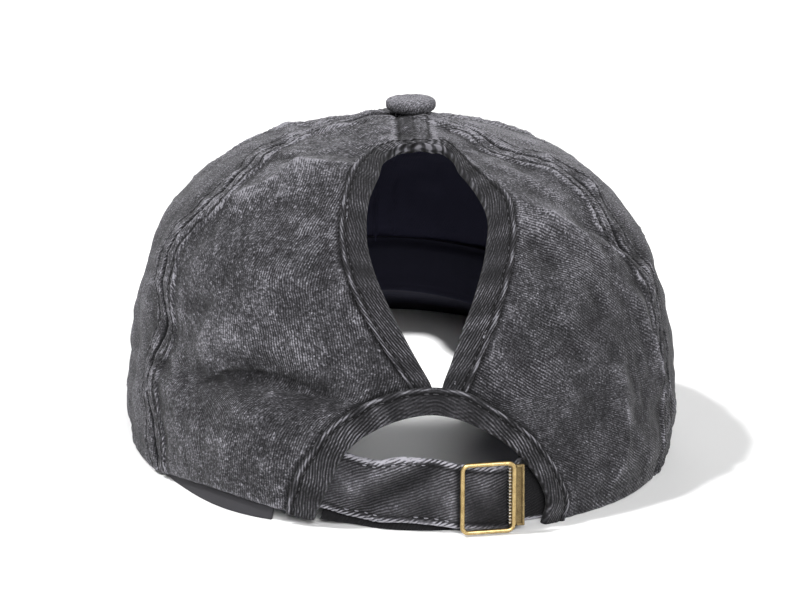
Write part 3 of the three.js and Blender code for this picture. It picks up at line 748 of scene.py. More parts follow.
def relief(az, v, seams, side=None):
    """Height above the folded surface, and how rubbed pale or painted with light and shade the cloth is, on a panel."""
    base = bare(az, v)
    s = height_mm(v)
    m = metric(az, v)
    high = np.zeros(az.shape)
    wear = np.zeros(az.shape)
    fade = 1 - 0.6 * smooth((v - 0.9) / 0.08)
    for k, name in enumerate(seams):
        ds = turn(az - seam_az(name, v)) * m
        h, w = seam_relief(ds, s, k + 1 + 3 * len(name))
        high += h * fade
        wear += w * fade
    high += rumple(base, v)
    # random tone, with folds and wrinkles painted lighter on their ridges and darker in their dents, as painted light
    # and shade
    wear += 0.10 * CREASE(base) + 0.08 * FINE(base) + 0.09 * fold(az, v) + wrinkle(base) * 0.34
    # painted light and shade: the cloth lighter towards the top and high on the +X side, darker low on the +X side, and
    # lighter round the sides and front
    wear += 0.22 * smooth((v - 0.62) / 0.3) - 0.24 * smooth(az / 50) * smooth((0.60 - v) / 0.35) * smooth((110 - az) / 40)
    wear += 0.14 * smooth(az / 40) * smooth((v - 0.52) / 0.16) + 0.16 * smooth((np.abs(az) - 66) / 14)
    # painted shade: a broad dark patch beside the openings on the -X side
    wear -= 0.12 * bump(stroke(az, v, -16, 0.30, -24, 0.42), 16.0)
    # the creases: raised ones pale, partly rubbing and partly painted light; sunken ones painted dark as shade
    for a0, v0, a1, v1, wide, tall, rub in zip(*[CREASES[k] for k in ("az0", "v0", "az1", "v1", "wide", "high", "wear")]):
        d = stroke(az, v, a0, v0, a1, v1)
        ragged = 0.7 + 0.3 * FINE(base)
        high += tall * bump(d, wide)
        wear += rub * bump(d, wide * 0.62) * ragged
    # the rolled hem: stitched 5 mm up
    hem = 1 - smooth(s / 0.9)
    high += -0.7 * hem**2 - 0.30 * bump(s - 5.4, 0.8) + 0.18 * np.sin(s * 0 + 2 * math.pi * az * m / 6.3) * bump(s - 2.6, 2.2)
    # the bottom edge rubbed pale; the hem's stitch line painted dark as shade
    wear += 0.35 * bump(s - 0.5, 0.8) - 0.2 * bump(s - 5.4, 0.7)
    if side:
        stub = smooth((v - 0.872) / 0.015) * smooth((10.0 - base[..., 1]) / 6.0 - 0.6)
        a = base[..., 0] - (2.5 + (v - 0.90) * 13.0)
        dots = 0.6 + 0.4 * np.cos(2 * math.pi * base[..., 1] / 1.9)
        high += stub * (0.45 * (1 - smooth((np.abs(a) - 4.6) / 0.8)) - 0.55 * bump(np.abs(a) - 4.7, 0.5) - 0.35 * bump(a, 0.5) * dots)
        # the top of the back seam: its grooves and stitch holes painted dark as shade, its -X half painted darker than
        # its +X half as shade, pale rubbed ridges beside it
        wear += stub * (0.55 * bump(np.abs(a) - 6.6, 1.1) - 0.95 * bump(np.abs(a) - 4.7, 0.55) - 0.65 * bump(a, 0.45) * dots
                        - 0.34 * bump(a + 2.4, 1.9) - 0.06 * bump(a - 2.4, 1.9))
        for which in ("tear", "arch"):
            d, t = nearest(base, edge_line(side, which))
            high += -0.45 * bump(d, 1.0) + 0.20 * np.sin(2 * math.pi * t / 5.2 + 2 * ALONG(t[..., None])) * bump(d - 2.4, 1.8)
            # painted shade beside the bindings: a dark line along their outer edge and a broad darkening round the
            # openings; a pale line 2 mm out
            wear += -0.6 * bump(d, 0.9) + 0.20 * bump(d - 2.2, 0.9) - 0.12 * bump(d, 14.0)
    return high, wear


# ---------------------------------------------------------------- the crown
def cloth_coords(outer, middle, grain):
    """Millimetres across and along a panel, with its grain turned."""
    across = np.concatenate([np.zeros((outer.shape[0], 1)), np.cumsum(np.linalg.norm(np.diff(outer, axis=1), axis=-1), axis=1)], 1)
    across -= across[:, middle:middle + 1]
    up = arc_length(outer[:, middle])[:, None] + 0 * across
    c, s = math.cos(grain * DEG), math.sin(grain * DEG)
    return np.stack([across * c - up * s, across * s + up * c, 0 * up + grain], -1)


def opening_az(side):
    """The cut edge of a back panel, hidden in the bindings' fold: azimuth by height."""
    share = 0.36
    rows_v, rows_x = [], []
    for i in range(len(ARCH["inL"])):
        rows_v.append(ARCH[f"vIn{side}"][i] * (1 - share) + ARCH[f"vOut{side}"][i] * share)
        rows_x.append(ARCH[f"in{side}"][i] * (1 - share) + ARCH[f"out{side}"][i] * share)
    rows_v.append(0.268)
    rows_x.append(-2.2 if side == "L" else 6.6)
    for i in range(1, len(TEARDROP["v"])):
        more = 0.12 if TEARDROP["outV"][i] != TEARDROP["v"][i] else 0.0
        k = share + more
        rows_v.append(TEARDROP["v"][i] * (1 - k) + TEARDROP["outV"][i] * k)
        rows_x.append(TEARDROP[f"in{side}"][i] * (1 - k) + TEARDROP[f"out{side}"][i] * k)
    top = TEARDROP_TOP["v"] * 0.5 + TEARDROP_TOP["outV"] * 0.5
    rows_v.append(top)
    gap = -0.02 if side == "L" else 0.02
    rows_v, rows_x = np.array(rows_v), np.array(rows_x)
    az = np.append(az_at(rows_x, rows_v[:-1]), seam_az("back", top))

    def edge(v):
        inside = curve(rows_v, az, v)
        stub = seam_az("back", v) + gap / np.maximum(crown("side", v), 3) / DEG
        return np.where(v < top, inside, stub)

    return edge, np.concatenate([rows_v, [top]])


def air(v):
    return 0.02 / np.maximum(3, crown("side", v)) / DEG


def panel_rows(step, keep=()):
    n = int(round(162 / step))
    v = np.linspace(0, PANEL_TOP, n)
    more = [np.linspace(0.0, 0.012, 5), np.linspace(0.235, 0.29, 40), np.linspace(0.83, 0.90, 60)] if len(keep) else [np.linspace(0.0, 0.012, 5)]
    v = np.unique(np.round(np.concatenate([v, *more]), 5))
    keepers = [v[0]]
    for a in v[1:]:
        if a - keepers[-1] > 0.0009:
            keepers.append(a)
    return np.array(keepers)


def columns_across(kind):
    """Shares across a panel, close together where the cloth is seamed: L and R
    are the back panels, B has a seam on both sides."""
    wide = {"L": 74.0, "R": 70.0, "B": 84.0}[kind]
    coarse = 0.85 if kind in "LR" else 1.3
    fine = 0.36 if kind in "LR" else 0.5
    s, x = [0.0], 0.0
    while x < wide:
        near = min(x if kind in "LB" else 1e9, wide - x if kind in "RB" else 1e9)
        cut = min(wide - x if kind == "L" else 1e9, x if kind == "R" else 1e9)
        step = fine + (coarse - fine) * smooth((near - 7.5) / 4)
        step = min(step, 0.5 + (coarse - 0.5) * smooth((cut - 6) / 4)) if cut < 1e8 else step
        x += float(step)
        s.append(x)
    s = np.array(s)
    return s / s[-1]


def panel(name, node, left, right, seams, step, kind, grain):
    side = kind if kind in "LR" else None
    v = panel_rows(step, keep=(1,) if side else ())
    t = columns_across(kind)[None]
    cols = t.shape[1]
    az = left(v)[:, None] * (1 - t) + right(v)[:, None] * t
    vv = v[:, None] + 0 * t
    high, wear = relief(az, vv, seams, side)
    outer = surface(az, vv, high)
    inner = surface(az, vv, np.minimum(high, 0) * 0.7 - 1.25)
    inner[0, :, 2] = outer[0, :, 2]
    coords = cloth_coords(surface(az, vv, 0), cols // 2, grain)
    obj = wall(name, outer, inner, {"cloth": coords, "wear": wear}, [TWILL, TWILL_IN])
    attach(obj, "root")
    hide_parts(node)
    return obj


STEP = 0.72
edge_left, _ = opening_az("L")
edge_right, _ = opening_az("R")
CROWN_PIECES = [
    panel("crown_back_left", "panel_back_left", lambda v: seam_az("rearLeft", v) + air(v), edge_left,
          ("rearLeft",), STEP, "L", -30),
    panel("crown_back_right", "panel_back_right", edge_right, lambda v: seam_az("rearRight", v) - air(v),
          ("rearRight",), STEP, "R", -88),
    panel("crown_side_left", "panel_side_left", lambda v: seam_az("frontLeft", v) + air(v),
          lambda v: seam_az("rearLeft", v) - air(v), ("rearLeft", "frontLeft"), STEP * 1.4, "B", -20),
    panel("crown_side_right", "panel_side_right", lambda v: seam_az("rearRight", v) + air(v),
          lambda v: seam_az("frontRight", v) - air(v), ("rearRight", "frontRight"), STEP * 1.4, "B", -80),
    panel("crown_front_right", "panel_front_right", lambda v: seam_az("frontRight", v) + air(v),
          lambda v: 180 - air(v), ("frontRight", "front"), STEP * 1.4, "B", -60),
    panel("crown_front_left", "panel_front_left", lambda v: -180 + air(v),
          lambda v: seam_az("frontLeft", v) - air(v), ("frontLeft", "front"), STEP * 1.4, "B", -30),
]


# ------------------------------------------------------------- the bindings
def spline(points, count):
    """Points along a smooth line through a few (x, v) points, evenly spread."""
    p = np.asarray(points, float) * [1, 160]
    t = np.concatenate([[0], np.cumsum(np.linalg.norm(np.diff(p, axis=0), axis=1) ** 0.5)])
    # Catmull-Rom with centripetal knots, by cubic Hermite pieces
    m = np.zeros_like(p)
    for i in range(1, len(p) - 1):
        a, b = t[i] - t[i - 1], t[i + 1] - t[i]
        m[i] = ((p[i] - p[i - 1]) / a * b + (p[i + 1] - p[i]) / b * a) / (a + b)
    m[0] = (p[1] - p[0]) / (t[1] - t[0])
    m[-1] = (p[-1] - p[-2]) / (t[-1] - t[-2])
    u = np.linspace(0, t[-1], count)
    i = np.clip(np.searchsorted(t, u, side="right") - 1, 0, len(t) - 2)
    h = (t[i + 1] - t[i])[:, None]
    s = ((u - t[i]) / (t[i + 1] - t[i]))[:, None]
    q = ((2 * s**3 - 3 * s**2 + 1) * p[i] + (s**3 - 2 * s**2 + s) * h * m[i]
         + (-2 * s**3 + 3 * s**2) * p[i + 1] + (s**3 - s**2) * h * m[i + 1])
    return q / [1, 160]


def binding(name, node, inner_pts, outer_pts, stations, seed, lift=None, wobble=None):
    a, b = spline(inner_pts, stations), spline(outer_pts, stations)
    base_line = surface(az_at(a[:, 0], a[:, 1]), a[:, 1])
    s = arc_length(base_line)
    wide = np.linalg.norm(surface(az_at(b[:, 0], b[:, 1]), b[:, 1]) - base_line, axis=-1)
    top, bottom = 0.95, -2.25
    # section from the stitched edge, over the fold, back to the inner edge
    f_out = np.concatenate([[1.0, 1.002, 0.992, 0.965], np.linspace(0.94, 0.09, 34), [0.055, 0.022, 0.0]])
    n_out = np.concatenate([[0.02, 0.45, 0.78, 0.93], np.full(34, top), [0.80, 0.40, -0.10]])
    f_in = np.concatenate([[-0.008, -0.004, 0.02, 0.06], np.linspace(0.12, 0.95, 10), [0.99, 1.0, 0.36, 0.34]])
    n_in = np.concatenate([[-0.6, -1.2, -1.8, -2.15], np.full(10, bottom), [-2.0, -1.45, -1.42, 0.0]])
    f = np.concatenate([f_out, f_in])
    n = np.concatenate([n_out, n_in])
    is_top = np.arange(len(f)) < len(f_out)
    F, SS = np.meshgrid(f, s)
    W = F * wide[:, None]
    drift = ALONG((s + 91 * seed)[:, None])[:, None]
    drift2 = ALONG2((s + 43 * seed)[:, None])[:, None]
    body = smooth((0.72 - F) / 0.1) * smooth(F / 0.04)
    # the ribs run along the strip, and twist across it over a gathered crest
    crest = bump(SS - s[-1] / 2, 24.0) if wobble is not None else 0 * SS
    folded = 1 - crest * (1 - smooth(F / 0.10))
    phase = W * (1 + 0.5 * crest) / 1.3 + (0.45 * drift + 0.35 * drift2) * folded + (0.04 * (SS - s[-1] / 2) - 0.45 * n[None]) * crest
    ridge = (0.07 + 0.10 * crest) * np.sin(2 * math.pi * phase) * np.maximum(body, crest * smooth(F / 0.04) * smooth((1 - F) / 0.06))
    groove_at = 0.76 + 0.015 * drift
    off = (F - groove_at) * wide[:, None]
    stitched = 0.7 + 0.3 * np.cos(2 * math.pi * SS / 2.7)
    groove = -0.42 * bump(off, 0.5) * stitched
    bead = 0.16 * smooth((F - groove_at - 0.03) / 0.08)
    pucker = 0.16 * np.sin(2 * math.pi * SS / 5.4 + 2.5 * drift) * smooth((F - 0.3) / 0.3)
    extra = np.where(is_top[None], ridge + groove + bead + pucker, 0.0) + 0.22 * drift2 * (0.4 + 0.6 * (1 - F))
    if lift is not None:
        extra = extra + lift(s)[:, None] * np.where(is_top[None] | (F > -1), 1, 0)
    if wobble is not None:
        extra = extra + wobble(s)[:, None] * (1 - 0.75 * np.clip(F, 0, 1))
    XV = a[:, None] * (1 - F[..., None]) + b[:, None] * F[..., None]
    az = az_at(XV[..., 0], XV[..., 1])
    rings = surface(az, XV[..., 1], n[None] + extra)
    rings[..., 2] = np.maximum(rings[..., 2], 0.02)
    rubbed = 0.8 + 0.4 * drift
    # the outer edge and the bead by the stitch groove are rubbed pale; painted shade darkens the groove, the fold at
    # the inner edge and the ribs' hollows, the ribs' tops are painted lighter as painted light, the crest is lighter,
    # and the underside is painted darker as shade
    wear = (rubbed * (0.60 + 0.2 * crest) * bump(off - 1.25, 0.42) - 0.75 * (1 - 0.7 * crest) * bump(off, 0.42)
            + (0.16 + 0.24 * crest) * np.sin(2 * math.pi * phase) * np.maximum(body, crest) + 0.12 * crest
            + 0.16 * (1 - smooth(F / 0.12)) + 0.10 * drift - 0.25 * bump((F - 1.0) * wide[:, None], 0.3))
    wear = np.where(is_top[None] | ((crest > 0.05) & (F < 0.1)), wear, -0.2)
    sign = np.where(np.arange(len(f)) < len(f_out) + 1, 1, -1)
    lean = np.where(SS < s[-1] / 2, SS, s[-1] - SS)
    coords = np.stack([W * sign[None], lean + 0 * F, 0 * F + seed * 7], -1)
    obj = tube(name, rings, {"cloth": coords, "wear": wear}, [BIAS])
    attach(obj, "root")
    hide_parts(node)
    # the line of the stitch row, for its thread
    g = groove_at[:, 0]
    line = a * (1 - g[:, None]) + b * g[:, None]
    lifted = (lift(s) if lift is not None else 0) + top - 0.36 + 0.22 * drift2[:, 0] * 0.55
    row = surface(az_at(line[:, 0], line[:, 1]), line[:, 1], lifted)
    return obj, row, normal(az_at(line[:, 0], line[:, 1]), line[:, 1]), float(s[-1]), float(wide.mean())


def loop(table, pick, top):
    n = len(next(iter(table.values())))
    left = [pick(i, "L") for i in range(n)]
    right = [pick(i, "R") for i in range(n)]
    return left + [top] + right[::-1]


tear_inner = loop(TEARDROP, lambda i, s: (TEARDROP[f"in{s}"][i], TEARDROP["v"][i]), (TEARDROP_TOP["x"], TEARDROP_TOP["v"]))
tear_outer = loop(TEARDROP, lambda i, s: (TEARDROP[f"out{s}"][i], TEARDROP["outV"][i]), (TEARDROP_TOP["x"], TEARDROP_TOP["outV"]))
arch_inner = loop(ARCH, lambda i, s: (ARCH[f"in{s}"][i], ARCH[f"vIn{s}"][i]), (ARCH_TOP["x"], ARCH_TOP["vIn"]))
arch_outer = loop(ARCH, lambda i, s: (ARCH[f"out{s}"][i], ARCH[f"vOut{s}"][i]), (ARCH_TOP["x"], ARCH_TOP["vOut"]))


def top_wobble(s):
    mid = s[-1] * 0.5
    return 0.30 * np.sin(2 * math.pi * (s - mid) / 7.0 + 0.6) * bump(s - mid, 9.0)


def crest_lift(s):
    mid = s[-1] * 0.5
    return 0.95 * bump(s - mid - 1.5, 13.0) ** 0.8


N_TEAR = 260
N_ARCH = 190
tear_obj, tear_row, tear_normals, tear_len, tear_wide = binding(
    "ponytail_opening_binding", "ponytail_binding", tear_inner, tear_outer, N_TEAR, 1, wobble=top_wobble)
arch_obj, arch_row, arch_normals, arch_len, arch_wide = binding(
    "arch_opening_binding", "arch_binding", arch_inner, arch_outer, N_ARCH, 2, lift=crest_lift)


# ---------------------------------------------------------------- stitches
def stitches(name, rows, material, pitch=2.7, share=0.72, radius=0.2, rest=0.0, keep=1.0, seed=5):
    """Threads laid along lines: rows is a list of (line, normals) in millimetres."""
    rng = np.random.default_rng(seed)
    around, parts = 6, 5
    points, faces, coords = [], [], []
    for line, up in rows:
        s = arc_length(line)
        count = int(s[-1] / pitch)
        for k in range(count):
            if rng.random() > keep:
                continue
            t = (np.linspace(0, 1, parts) * share + (1 - share) / 2 + k) * pitch
            p = np.stack([np.interp(t, s, line[:, i]) for i in range(3)], -1)
            n = np.stack([np.interp(t, s, up[:, i]) for i in range(3)], -1)
            n /= np.linalg.norm(n, axis=1, keepdims=True)
            d = np.gradient(p, axis=0)
            d /= np.linalg.norm(d, axis=1, keepdims=True)
            b = np.cross(d, n)
            w = np.linspace(-1, 1, parts)
            arch = (1 - w**2) * radius * 1.1 - radius * 0.7 + rest
            r = radius * np.sqrt(np.maximum(0.12, 1 - w**4))
            base = len(points)
            for i in range(parts):
                for q in range(around):
                    a = 2 * math.pi * q / around
                    points.append(p[i] + n[i] * (arch[i] + r[i] * math.sin(a)) + b[i] * r[i] * math.cos(a))
                    coords.append((q * 0.3, t[i], k))
            for i in range(parts - 1):
                for q in range(around):
                    c = base + i * around + q
                    e = base + i * around + (q + 1) % around
                    faces.append([c, c + around, e + around, e])
            faces.append([base + q for q in range(around)])
            faces.append([base + (parts - 1) * around + q for q in range(around)][::-1])
    if not points:
        return None
    points = np.array(points)
    body = [f for f in faces if len(f) == 4]
    if volume(points, body) < 0:
        faces = [f[::-1] for f in faces]
    obj = add_object(name, points, faces, {"cloth": np.array(coords)}, [material])
    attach(obj, "root")
    return obj


def seam_rows(name, v0, v1, offsets, sides=(1, -1)):
    """Stitch lines beside a seam, on the finished relief."""
    rows = []
    for sign in sides:
        for off in offsets:
            v = np.linspace(v0, v1, 420)
            az0 = seam_az(name, v)
            az = az0 + sign * off / metric(az0, v)
            neighbours = tuple(n for n in PANEL_SEAMS if n != "back" or name == "back")
            s = height_mm(v)
            h = np.zeros(len(v))
            for k, other in enumerate([name]):
                ds = turn(az - seam_az(other, v)) * metric(az, v)
                h += seam_relief(ds, s, k + 1 + 3 * len(other))[0]
            base = bare(az, v)
            h += rumple(base, v)
            rows.append((surface(az, v, h + 0.12), normal(az, v)))
    return rows


thread_rows = []
for seam in ("rearLeft", "rearRight", "frontLeft", "frontRight", "front"):
    thread_rows += seam_rows(seam, 0.035, 0.94, (FELL["row"],))
stitches("stitches_crown", thread_rows, THREAD, radius=0.17)
stitches("stitches_bindings", [(tear_row, tear_normals), (arch_row, arch_normals)], THREAD, radius=0.17, rest=-0.02)

# --------------------------------------------------------------- the button
def button():
    r, h = 8.1, 5.0
    profile = [(0.0, -3.4), (1.7, -3.4), (1.7, 0.1)]
    t = np.linspace(-0.46 * math.pi, 0.5 * math.pi, 34)
    for a in t:
        x = r * abs(np.cos(a)) ** (0.58 if a > 0 else 0.34)
        y = 2.1 + (2.7 if a > 0 else 2.6) * np.sign(np.sin(a)) * abs(np.sin(a)) ** (0.72 if a > 0 else 0.86)
        profile.append((x, y))
    h = 4.8
    profile[-1] = (0.0, h)
    profile = np.array(profile)
    around = 96
    a = np.linspace(0, 2 * math.pi, around, endpoint=False)
    rad, z = profile[1:-1, 0], profile[1:-1, 1]
    A, R = np.meshgrid(a, rad)
    Z = z[:, None] + 0 * A
    skin = smooth((R - 2.0) / 0.8)
    wob = 1 + skin * (0.012 * np.sin(3 * A + 0.5) + 0.010 * np.sin(7 * A + 1.0) * smooth((3.2 - Z) / 3))
    pleat = -0.16 * np.maximum(0, np.sin(9 * A)) ** 3 * smooth((2.2 - Z) / 2.0) * skin
    P = np.stack([BUTTON_X + skin * 0.9 + R * wob * np.cos(A), R * wob * np.sin(A), 108.35 + Z + skin * (1.2 + 0.10 * np.sin(2 * A + 1))], -1)
    P[..., 0] += pleat * np.cos(A)
    P[..., 1] += pleat * np.sin(A)
    P[..., 2] += 0.05 * skin * TINY(P)
    pts = P.reshape(-1, 3)
    n = len(rad)
    k = np.arange(around)
    faces = []
    for i in range(n - 1):
        faces.append(np.stack([i * around + k, i * around + (k + 1) % around, (i + 1) * around + (k + 1) % around, (i + 1) * around + k], -1))
    faces = np.concatenate(faces).tolist()
    low, top = len(pts), len(pts) + 1
    pts = np.concatenate([pts, [[BUTTON_X, 0, 108.35 + profile[0, 1]], [BUTTON_X, 0, 108.35 + h]]])
    for q in range(around):
        faces.append([low, (q + 1) % around, q])
        faces.append([top, (n - 1) * around + q, (n - 1) * around + (q + 1) % around])
    if volume(pts, faces) < 0:
        faces = [f[::-1] for f in faces]
    local = pts - [BUTTON_X, 0, 108.35]
    reach = np.hypot(local[:, 0], local[:, 1])
    coords = np.stack([local[:, 0], local[:, 1] * 1.0 + local[:, 2] * 0.9, local[:, 2]], -1)
    # painted light and shade: the button's top painted lighter and its foot, where it meets the crown, painted dark; a
    # little random tone
    wear = 0.50 * smooth((local[:, 2] - 2.6) / 3.0) - 0.75 * (1 - smooth((local[:, 2] - 0.6) / 3.0)) + 0.05 * TINY(pts)
    obj = add_object("crown_button", pts, faces, {"cloth": coords, "wear": wear}, [BUTTON_TWILL])
    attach(obj, "root")
    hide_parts("top_button")
    return obj


BUTTON_TWILL = twill("button_twill", greys((0.0, 0.012), (0.30, 0.040), (0.52, 0.085), (0.75, 0.16), (1.0, 0.32)),
                     pitch=0.7, weave=0.10, speckle=0.62, wear=0.5)
button_obj = button()


# ----------------------------------------------------------------- the brim
def brim():
    cols, rows = ((190, 84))
    root_angle, half, length, y0, power, thick = 66, 86, 127, 40, 2.0, 3.2
    u = np.linspace(-1, 1, cols)[None]
    w = np.linspace(0, 1, rows)[:, None] ** 0.92
    az = 180 - u * root_angle
    root = surface(az[0], np.zeros(cols), 0.9)[None]
    a = u * 90 * DEG
    e = 2 / power
    edge = np.stack([
        half * np.sign(u) * np.abs(np.sin(a)) ** e,
        y0 + length * np.abs(np.cos(a)) ** e,
        0 * a,
    ], -1)
    mid = root * (1 - w[..., None]) + edge * w[..., None]
    reach = np.linalg.norm(edge - root, axis=-1) * w
    left = np.linalg.norm(edge - root, axis=-1) * (1 - w)
    rim_d = np.minimum(left, 1e9)
    side_d = np.minimum(1 - np.abs(u), 1) * 90
    close = np.minimum(rim_d, side_d + 0 * w)
    r = thick / 2
    half_t = r * np.sqrt(np.clip(1 - (1 - np.clip(close / r, 0, 1)) ** 2, 0, 1))
    half_t = np.maximum(half_t, 0.12)
    grooves = np.zeros_like(left)
    wear = np.zeros_like(left)
    rows_at = [3.2] + [3.2 + 7.6 * k for k in range(1, 8)]
    # the stitch rows sink into grooves, painted dark along them as shade; the edges are rubbed pale
    for d0 in rows_at:
        g = bump(left - d0, 0.55) * smooth((reach - 2) / 3)
        grooves -= 0.30 * g * (0.75 + 0.25 * np.cos(2 * math.pi * u * 110 / 3.0))
        wear -= 0.35 * bump(left - d0, 0.5) * smooth((reach - 2) / 3)
    wear += 0.45 * (1 - smooth(close / 1.6))
    pts0 = mid + [0, 0, r]
    noise = 0.16 * SOFT(pts0 * 1.0) + 0.08 * CREASE(pts0) + 0.04 * FINE(pts0)
    noise = noise * smooth(close / 4)
    outer = mid.copy()
    outer[..., 2] += r + half_t + grooves + noise
    inner = mid.copy()
    inner[..., 2] += r - np.maximum(half_t, r * 0.9 * smooth((1.2 - np.abs(u)) / 0.5)) - grooves * 0.6
    inner[..., 2] -= 0.6 * (1 - smooth(left / 7.0))
    inner[..., 2] = np.maximum(inner[..., 2], 0.0)
    coords = np.stack([mid[..., 0], mid[..., 1], 0 * reach + 40], -1)
    obj = wall("curved_brim", outer, inner, {"cloth": coords, "wear": wear}, [TWILL, UNDER])
    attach(obj, "root")
    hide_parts("brim")
    # stitch rows on top
    lines = []
    total = np.linalg.norm(edge - root, axis=-1)[0]
    for d0 in rows_at:
        keep = total > d0 + 4
        ww = np.clip(1 - d0 / np.maximum(total, 1), 0, 1)
        line = root[0] * (1 - ww[:, None]) + edge[0] * ww[:, None]
        line[:, 2] += thick - 0.22
        line = line[keep]
        if len(line) > 8:
            lines.append((line, np.tile([0, 0, 1.0], (len(line), 1))))
    stitches("stitches_brim", lines, THREAD, pitch=3.0, radius=0.2, rest=0.05)
    return obj


brim_obj = brim()


# ------------------------------------------------------------ the sweatband
def sweatband():
    cols, rows = ((340, 44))
    az = np.linspace(31.5, 360 - 31.5, cols)[None]
    v = np.linspace(0, 0.205, rows)[:, None]
    AZ, V = np.broadcast_arrays(az, v)
    s = height_mm(V)
    base = bare(AZ, V)
    ripple = 0.18 * np.sin(AZ * 1.9) * smooth(V / 0.05) + 0.15 * CREASE(base)
    stitched = -0.25 * bump(s - 3.0, 0.5) - 0.25 * bump(s - 27.5, 0.5)
    tight = smooth((V - 0.165) / 0.035)
    flare = 2.6 * bump(turn(AZ + 40), 19) * np.clip(1 - V / 0.036, 0, 1)
    outer = surface(AZ, V, -2.35 + 0.1 * ripple + 0.75 * tight + flare, 0.0)
    inner = surface(AZ, V, -3.35 + 1.25 * tight + ripple * 0.3 - 0.4 * stitched + flare, 0.0)
    coords = np.stack([AZ * 1.55, s, 0 * s + 70], -1)
    # the bottom edge rubbed pale; the stitch line 3 mm up painted dark as shade
    wear = 0.2 * bump(s - 0.2, 0.8) - 0.3 * bump(s - 3.0, 0.5)
    obj = wall("inner_sweatband", outer, inner, {"cloth": coords, "wear": wear}, [BAND_OUT, BAND])
    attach(obj, "root")
    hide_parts("sweatband")
    return obj


band_obj = sweatband()


# ---------------------------------------------------------------- the strap
def strap_surface(x, t, n):
    """Point at X, share t of the strap's height, n off its outer face."""
    low, high = curve(STRAP["x"], STRAP["low"], x), curve(STRAP["x"], STRAP["high"], x)
    z = low + (high - low) * t
    v = v_at(x, np.maximum(z, 0.0))
    return surface(az_at(x, v), v, curve(STRAP["x"], STRAP["n"], x) + n), z


# creases of the strap: strokes in X and Z
STRAP_FOLDS = columns("""
    x0   z0    x1   z1    wide  deep
    1    21    -20  7     3.0   -1.5
    -4   22    -24  13    2.6   1.0
    4    16    -14  3     3.4   0.7
    -30  20    -22  8     2.5   0.5
    10   19    13   5     2.2   -0.35
    20   17    15   6     2.6   0.45
""")


def strap():
    cols, rows = ((260, 72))
    x = np.linspace(-45, 27.2, cols)[None]
    t = np.linspace(0, 1, rows)[:, None]
    X, T = np.broadcast_arrays(x, t)
    P0, Z = strap_surface(X, T, 0)
    wide = curve(STRAP["x"], STRAP["high"], X) - curve(STRAP["x"], STRAP["low"], X)
    d = np.minimum(T, 1 - T) * wide
    r = 0.85
    half_t = r * np.sqrt(np.clip(1 - (1 - np.clip(d / r, 0, 1)) ** 2, 0, 1))
    bead = 0.22 * bump(d - 0.9, 0.7)
    high = np.zeros_like(d)
    wear = np.zeros_like(d)
    for x0, z0, x1, z1, w, deep in zip(*[STRAP_FOLDS[k] for k in ("x0", "z0", "x1", "z1", "wide", "deep")]):
        px, pz, qx, qz = X - x0, Z - z0, x1 - x0, z1 - z0
        k = np.clip((px * qx + pz * qz) / (qx * qx + qz * qz), 0, 1)
        b = bump(np.hypot(px - qx * k, pz - qz * k), w)
        high += deep * b
        # painted light and shade of the fold: raised cloth lighter, hollows darker
        wear += 0.22 * deep * b
    noise = 0.22 * CREASE(P0) + 0.10 * FINE(P0)
    stitched = 0.65 + 0.35 * np.cos(2 * math.pi * X / 3.1)
    groove = -0.32 * bump(d - 2.2, 0.5) * stitched
    pucker = 0.16 * np.sin(2 * math.pi * X / 4.6 + 2 * ALONG(X[..., None])) * bump(d - 1.1, 1.0)
    press = -0.45 * bump(X - 10.2, 1.1)      # pressed in by the buckle's left bar
    top = high + noise + groove + pucker + bead + press * smooth(d / 1.0)
    hem = 1 - smooth((d - 1.5) / 0.8)
    slant = np.sin(2 * math.pi * (X * math.sin(38 * DEG) - Z * math.cos(38 * DEG)) / 1.05 + 1.2 * ALONG(X[..., None]))
    top += 0.10 * slant * hem * smooth(d / 0.4)
    # pale rubbed edges; the stitch groove painted dark and the slanting ribs painted lighter and darker with their
    # light and shade; painted shade along the buckle's bars and over the strap behind the buckle
    wear += (0.66 * bump(d - 0.5, 0.85) - 0.35 * bump(d - 2.2, 0.45) + 0.10 * CREASE(P0)
             + 0.24 * slant * hem
             - 0.55 * bump(X - 8.0, 0.9) - 0.55 * bump(X - 23.2, 1.3) - 0.42 * smooth((X - 14) / 8) - 0.12 * smooth((X - 8) / 2))
    v = v_at(X, np.maximum(Z, 0.0))
    az = az_at(X, v)
    course = curve(STRAP["x"], STRAP["n"], X)
    outer = surface(az, v, course - r + half_t + top)
    inner = surface(az, v, course - r - half_t + 0.8 * high + noise)
    coords = np.stack([X, Z, 0 * X + 90], -1)
    obj = wall("strap_across_arch", outer, inner, {"cloth": coords, "wear": wear}, [STRAP_TWILL])
    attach(obj, "root")
    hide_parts("adjuster_strap")
    rows_out = []
    for tt in (2.2, -2.2):
        xs = np.linspace(-30, 8.2, 200)
        low, hi = curve(STRAP["x"], STRAP["low"], xs), curve(STRAP["x"], STRAP["high"], xs)
        z = low + 2.2 if tt > 0 else hi - 2.2
        hgt = np.zeros(len(xs))
        for x0, z0, x1, z1, w, deep in zip(*[STRAP_FOLDS[k] for k in ("x0", "z0", "x1", "z1", "wide", "deep")]):
            px, pz, qx, qz = xs - x0, z - z0, x1 - x0, z1 - z0
            k = np.clip((px * qx + pz * qz) / (qx * qx + qz * qz), 0, 1)
            hgt += deep * bump(np.hypot(px - qx * k, pz - qz * k), w)
        vv = v_at(xs, z)
        p0 = surface(az_at(xs, vv), vv, curve(STRAP["x"], STRAP["n"], xs))
        hgt += 0.22 * CREASE(p0) + 0.10 * FINE(p0)
        rows_out.append((surface(az_at(xs, vv), vv, curve(STRAP["x"], STRAP["n"], xs) + hgt - 0.10), normal(az_at(xs, vv), vv)))
    stitches("stitches_strap", rows_out, THREAD_PALE, pitch=3.1, share=0.45, radius=0.21, rest=0.02, keep=0.8, seed=9)
    return obj


strap_obj = strap()


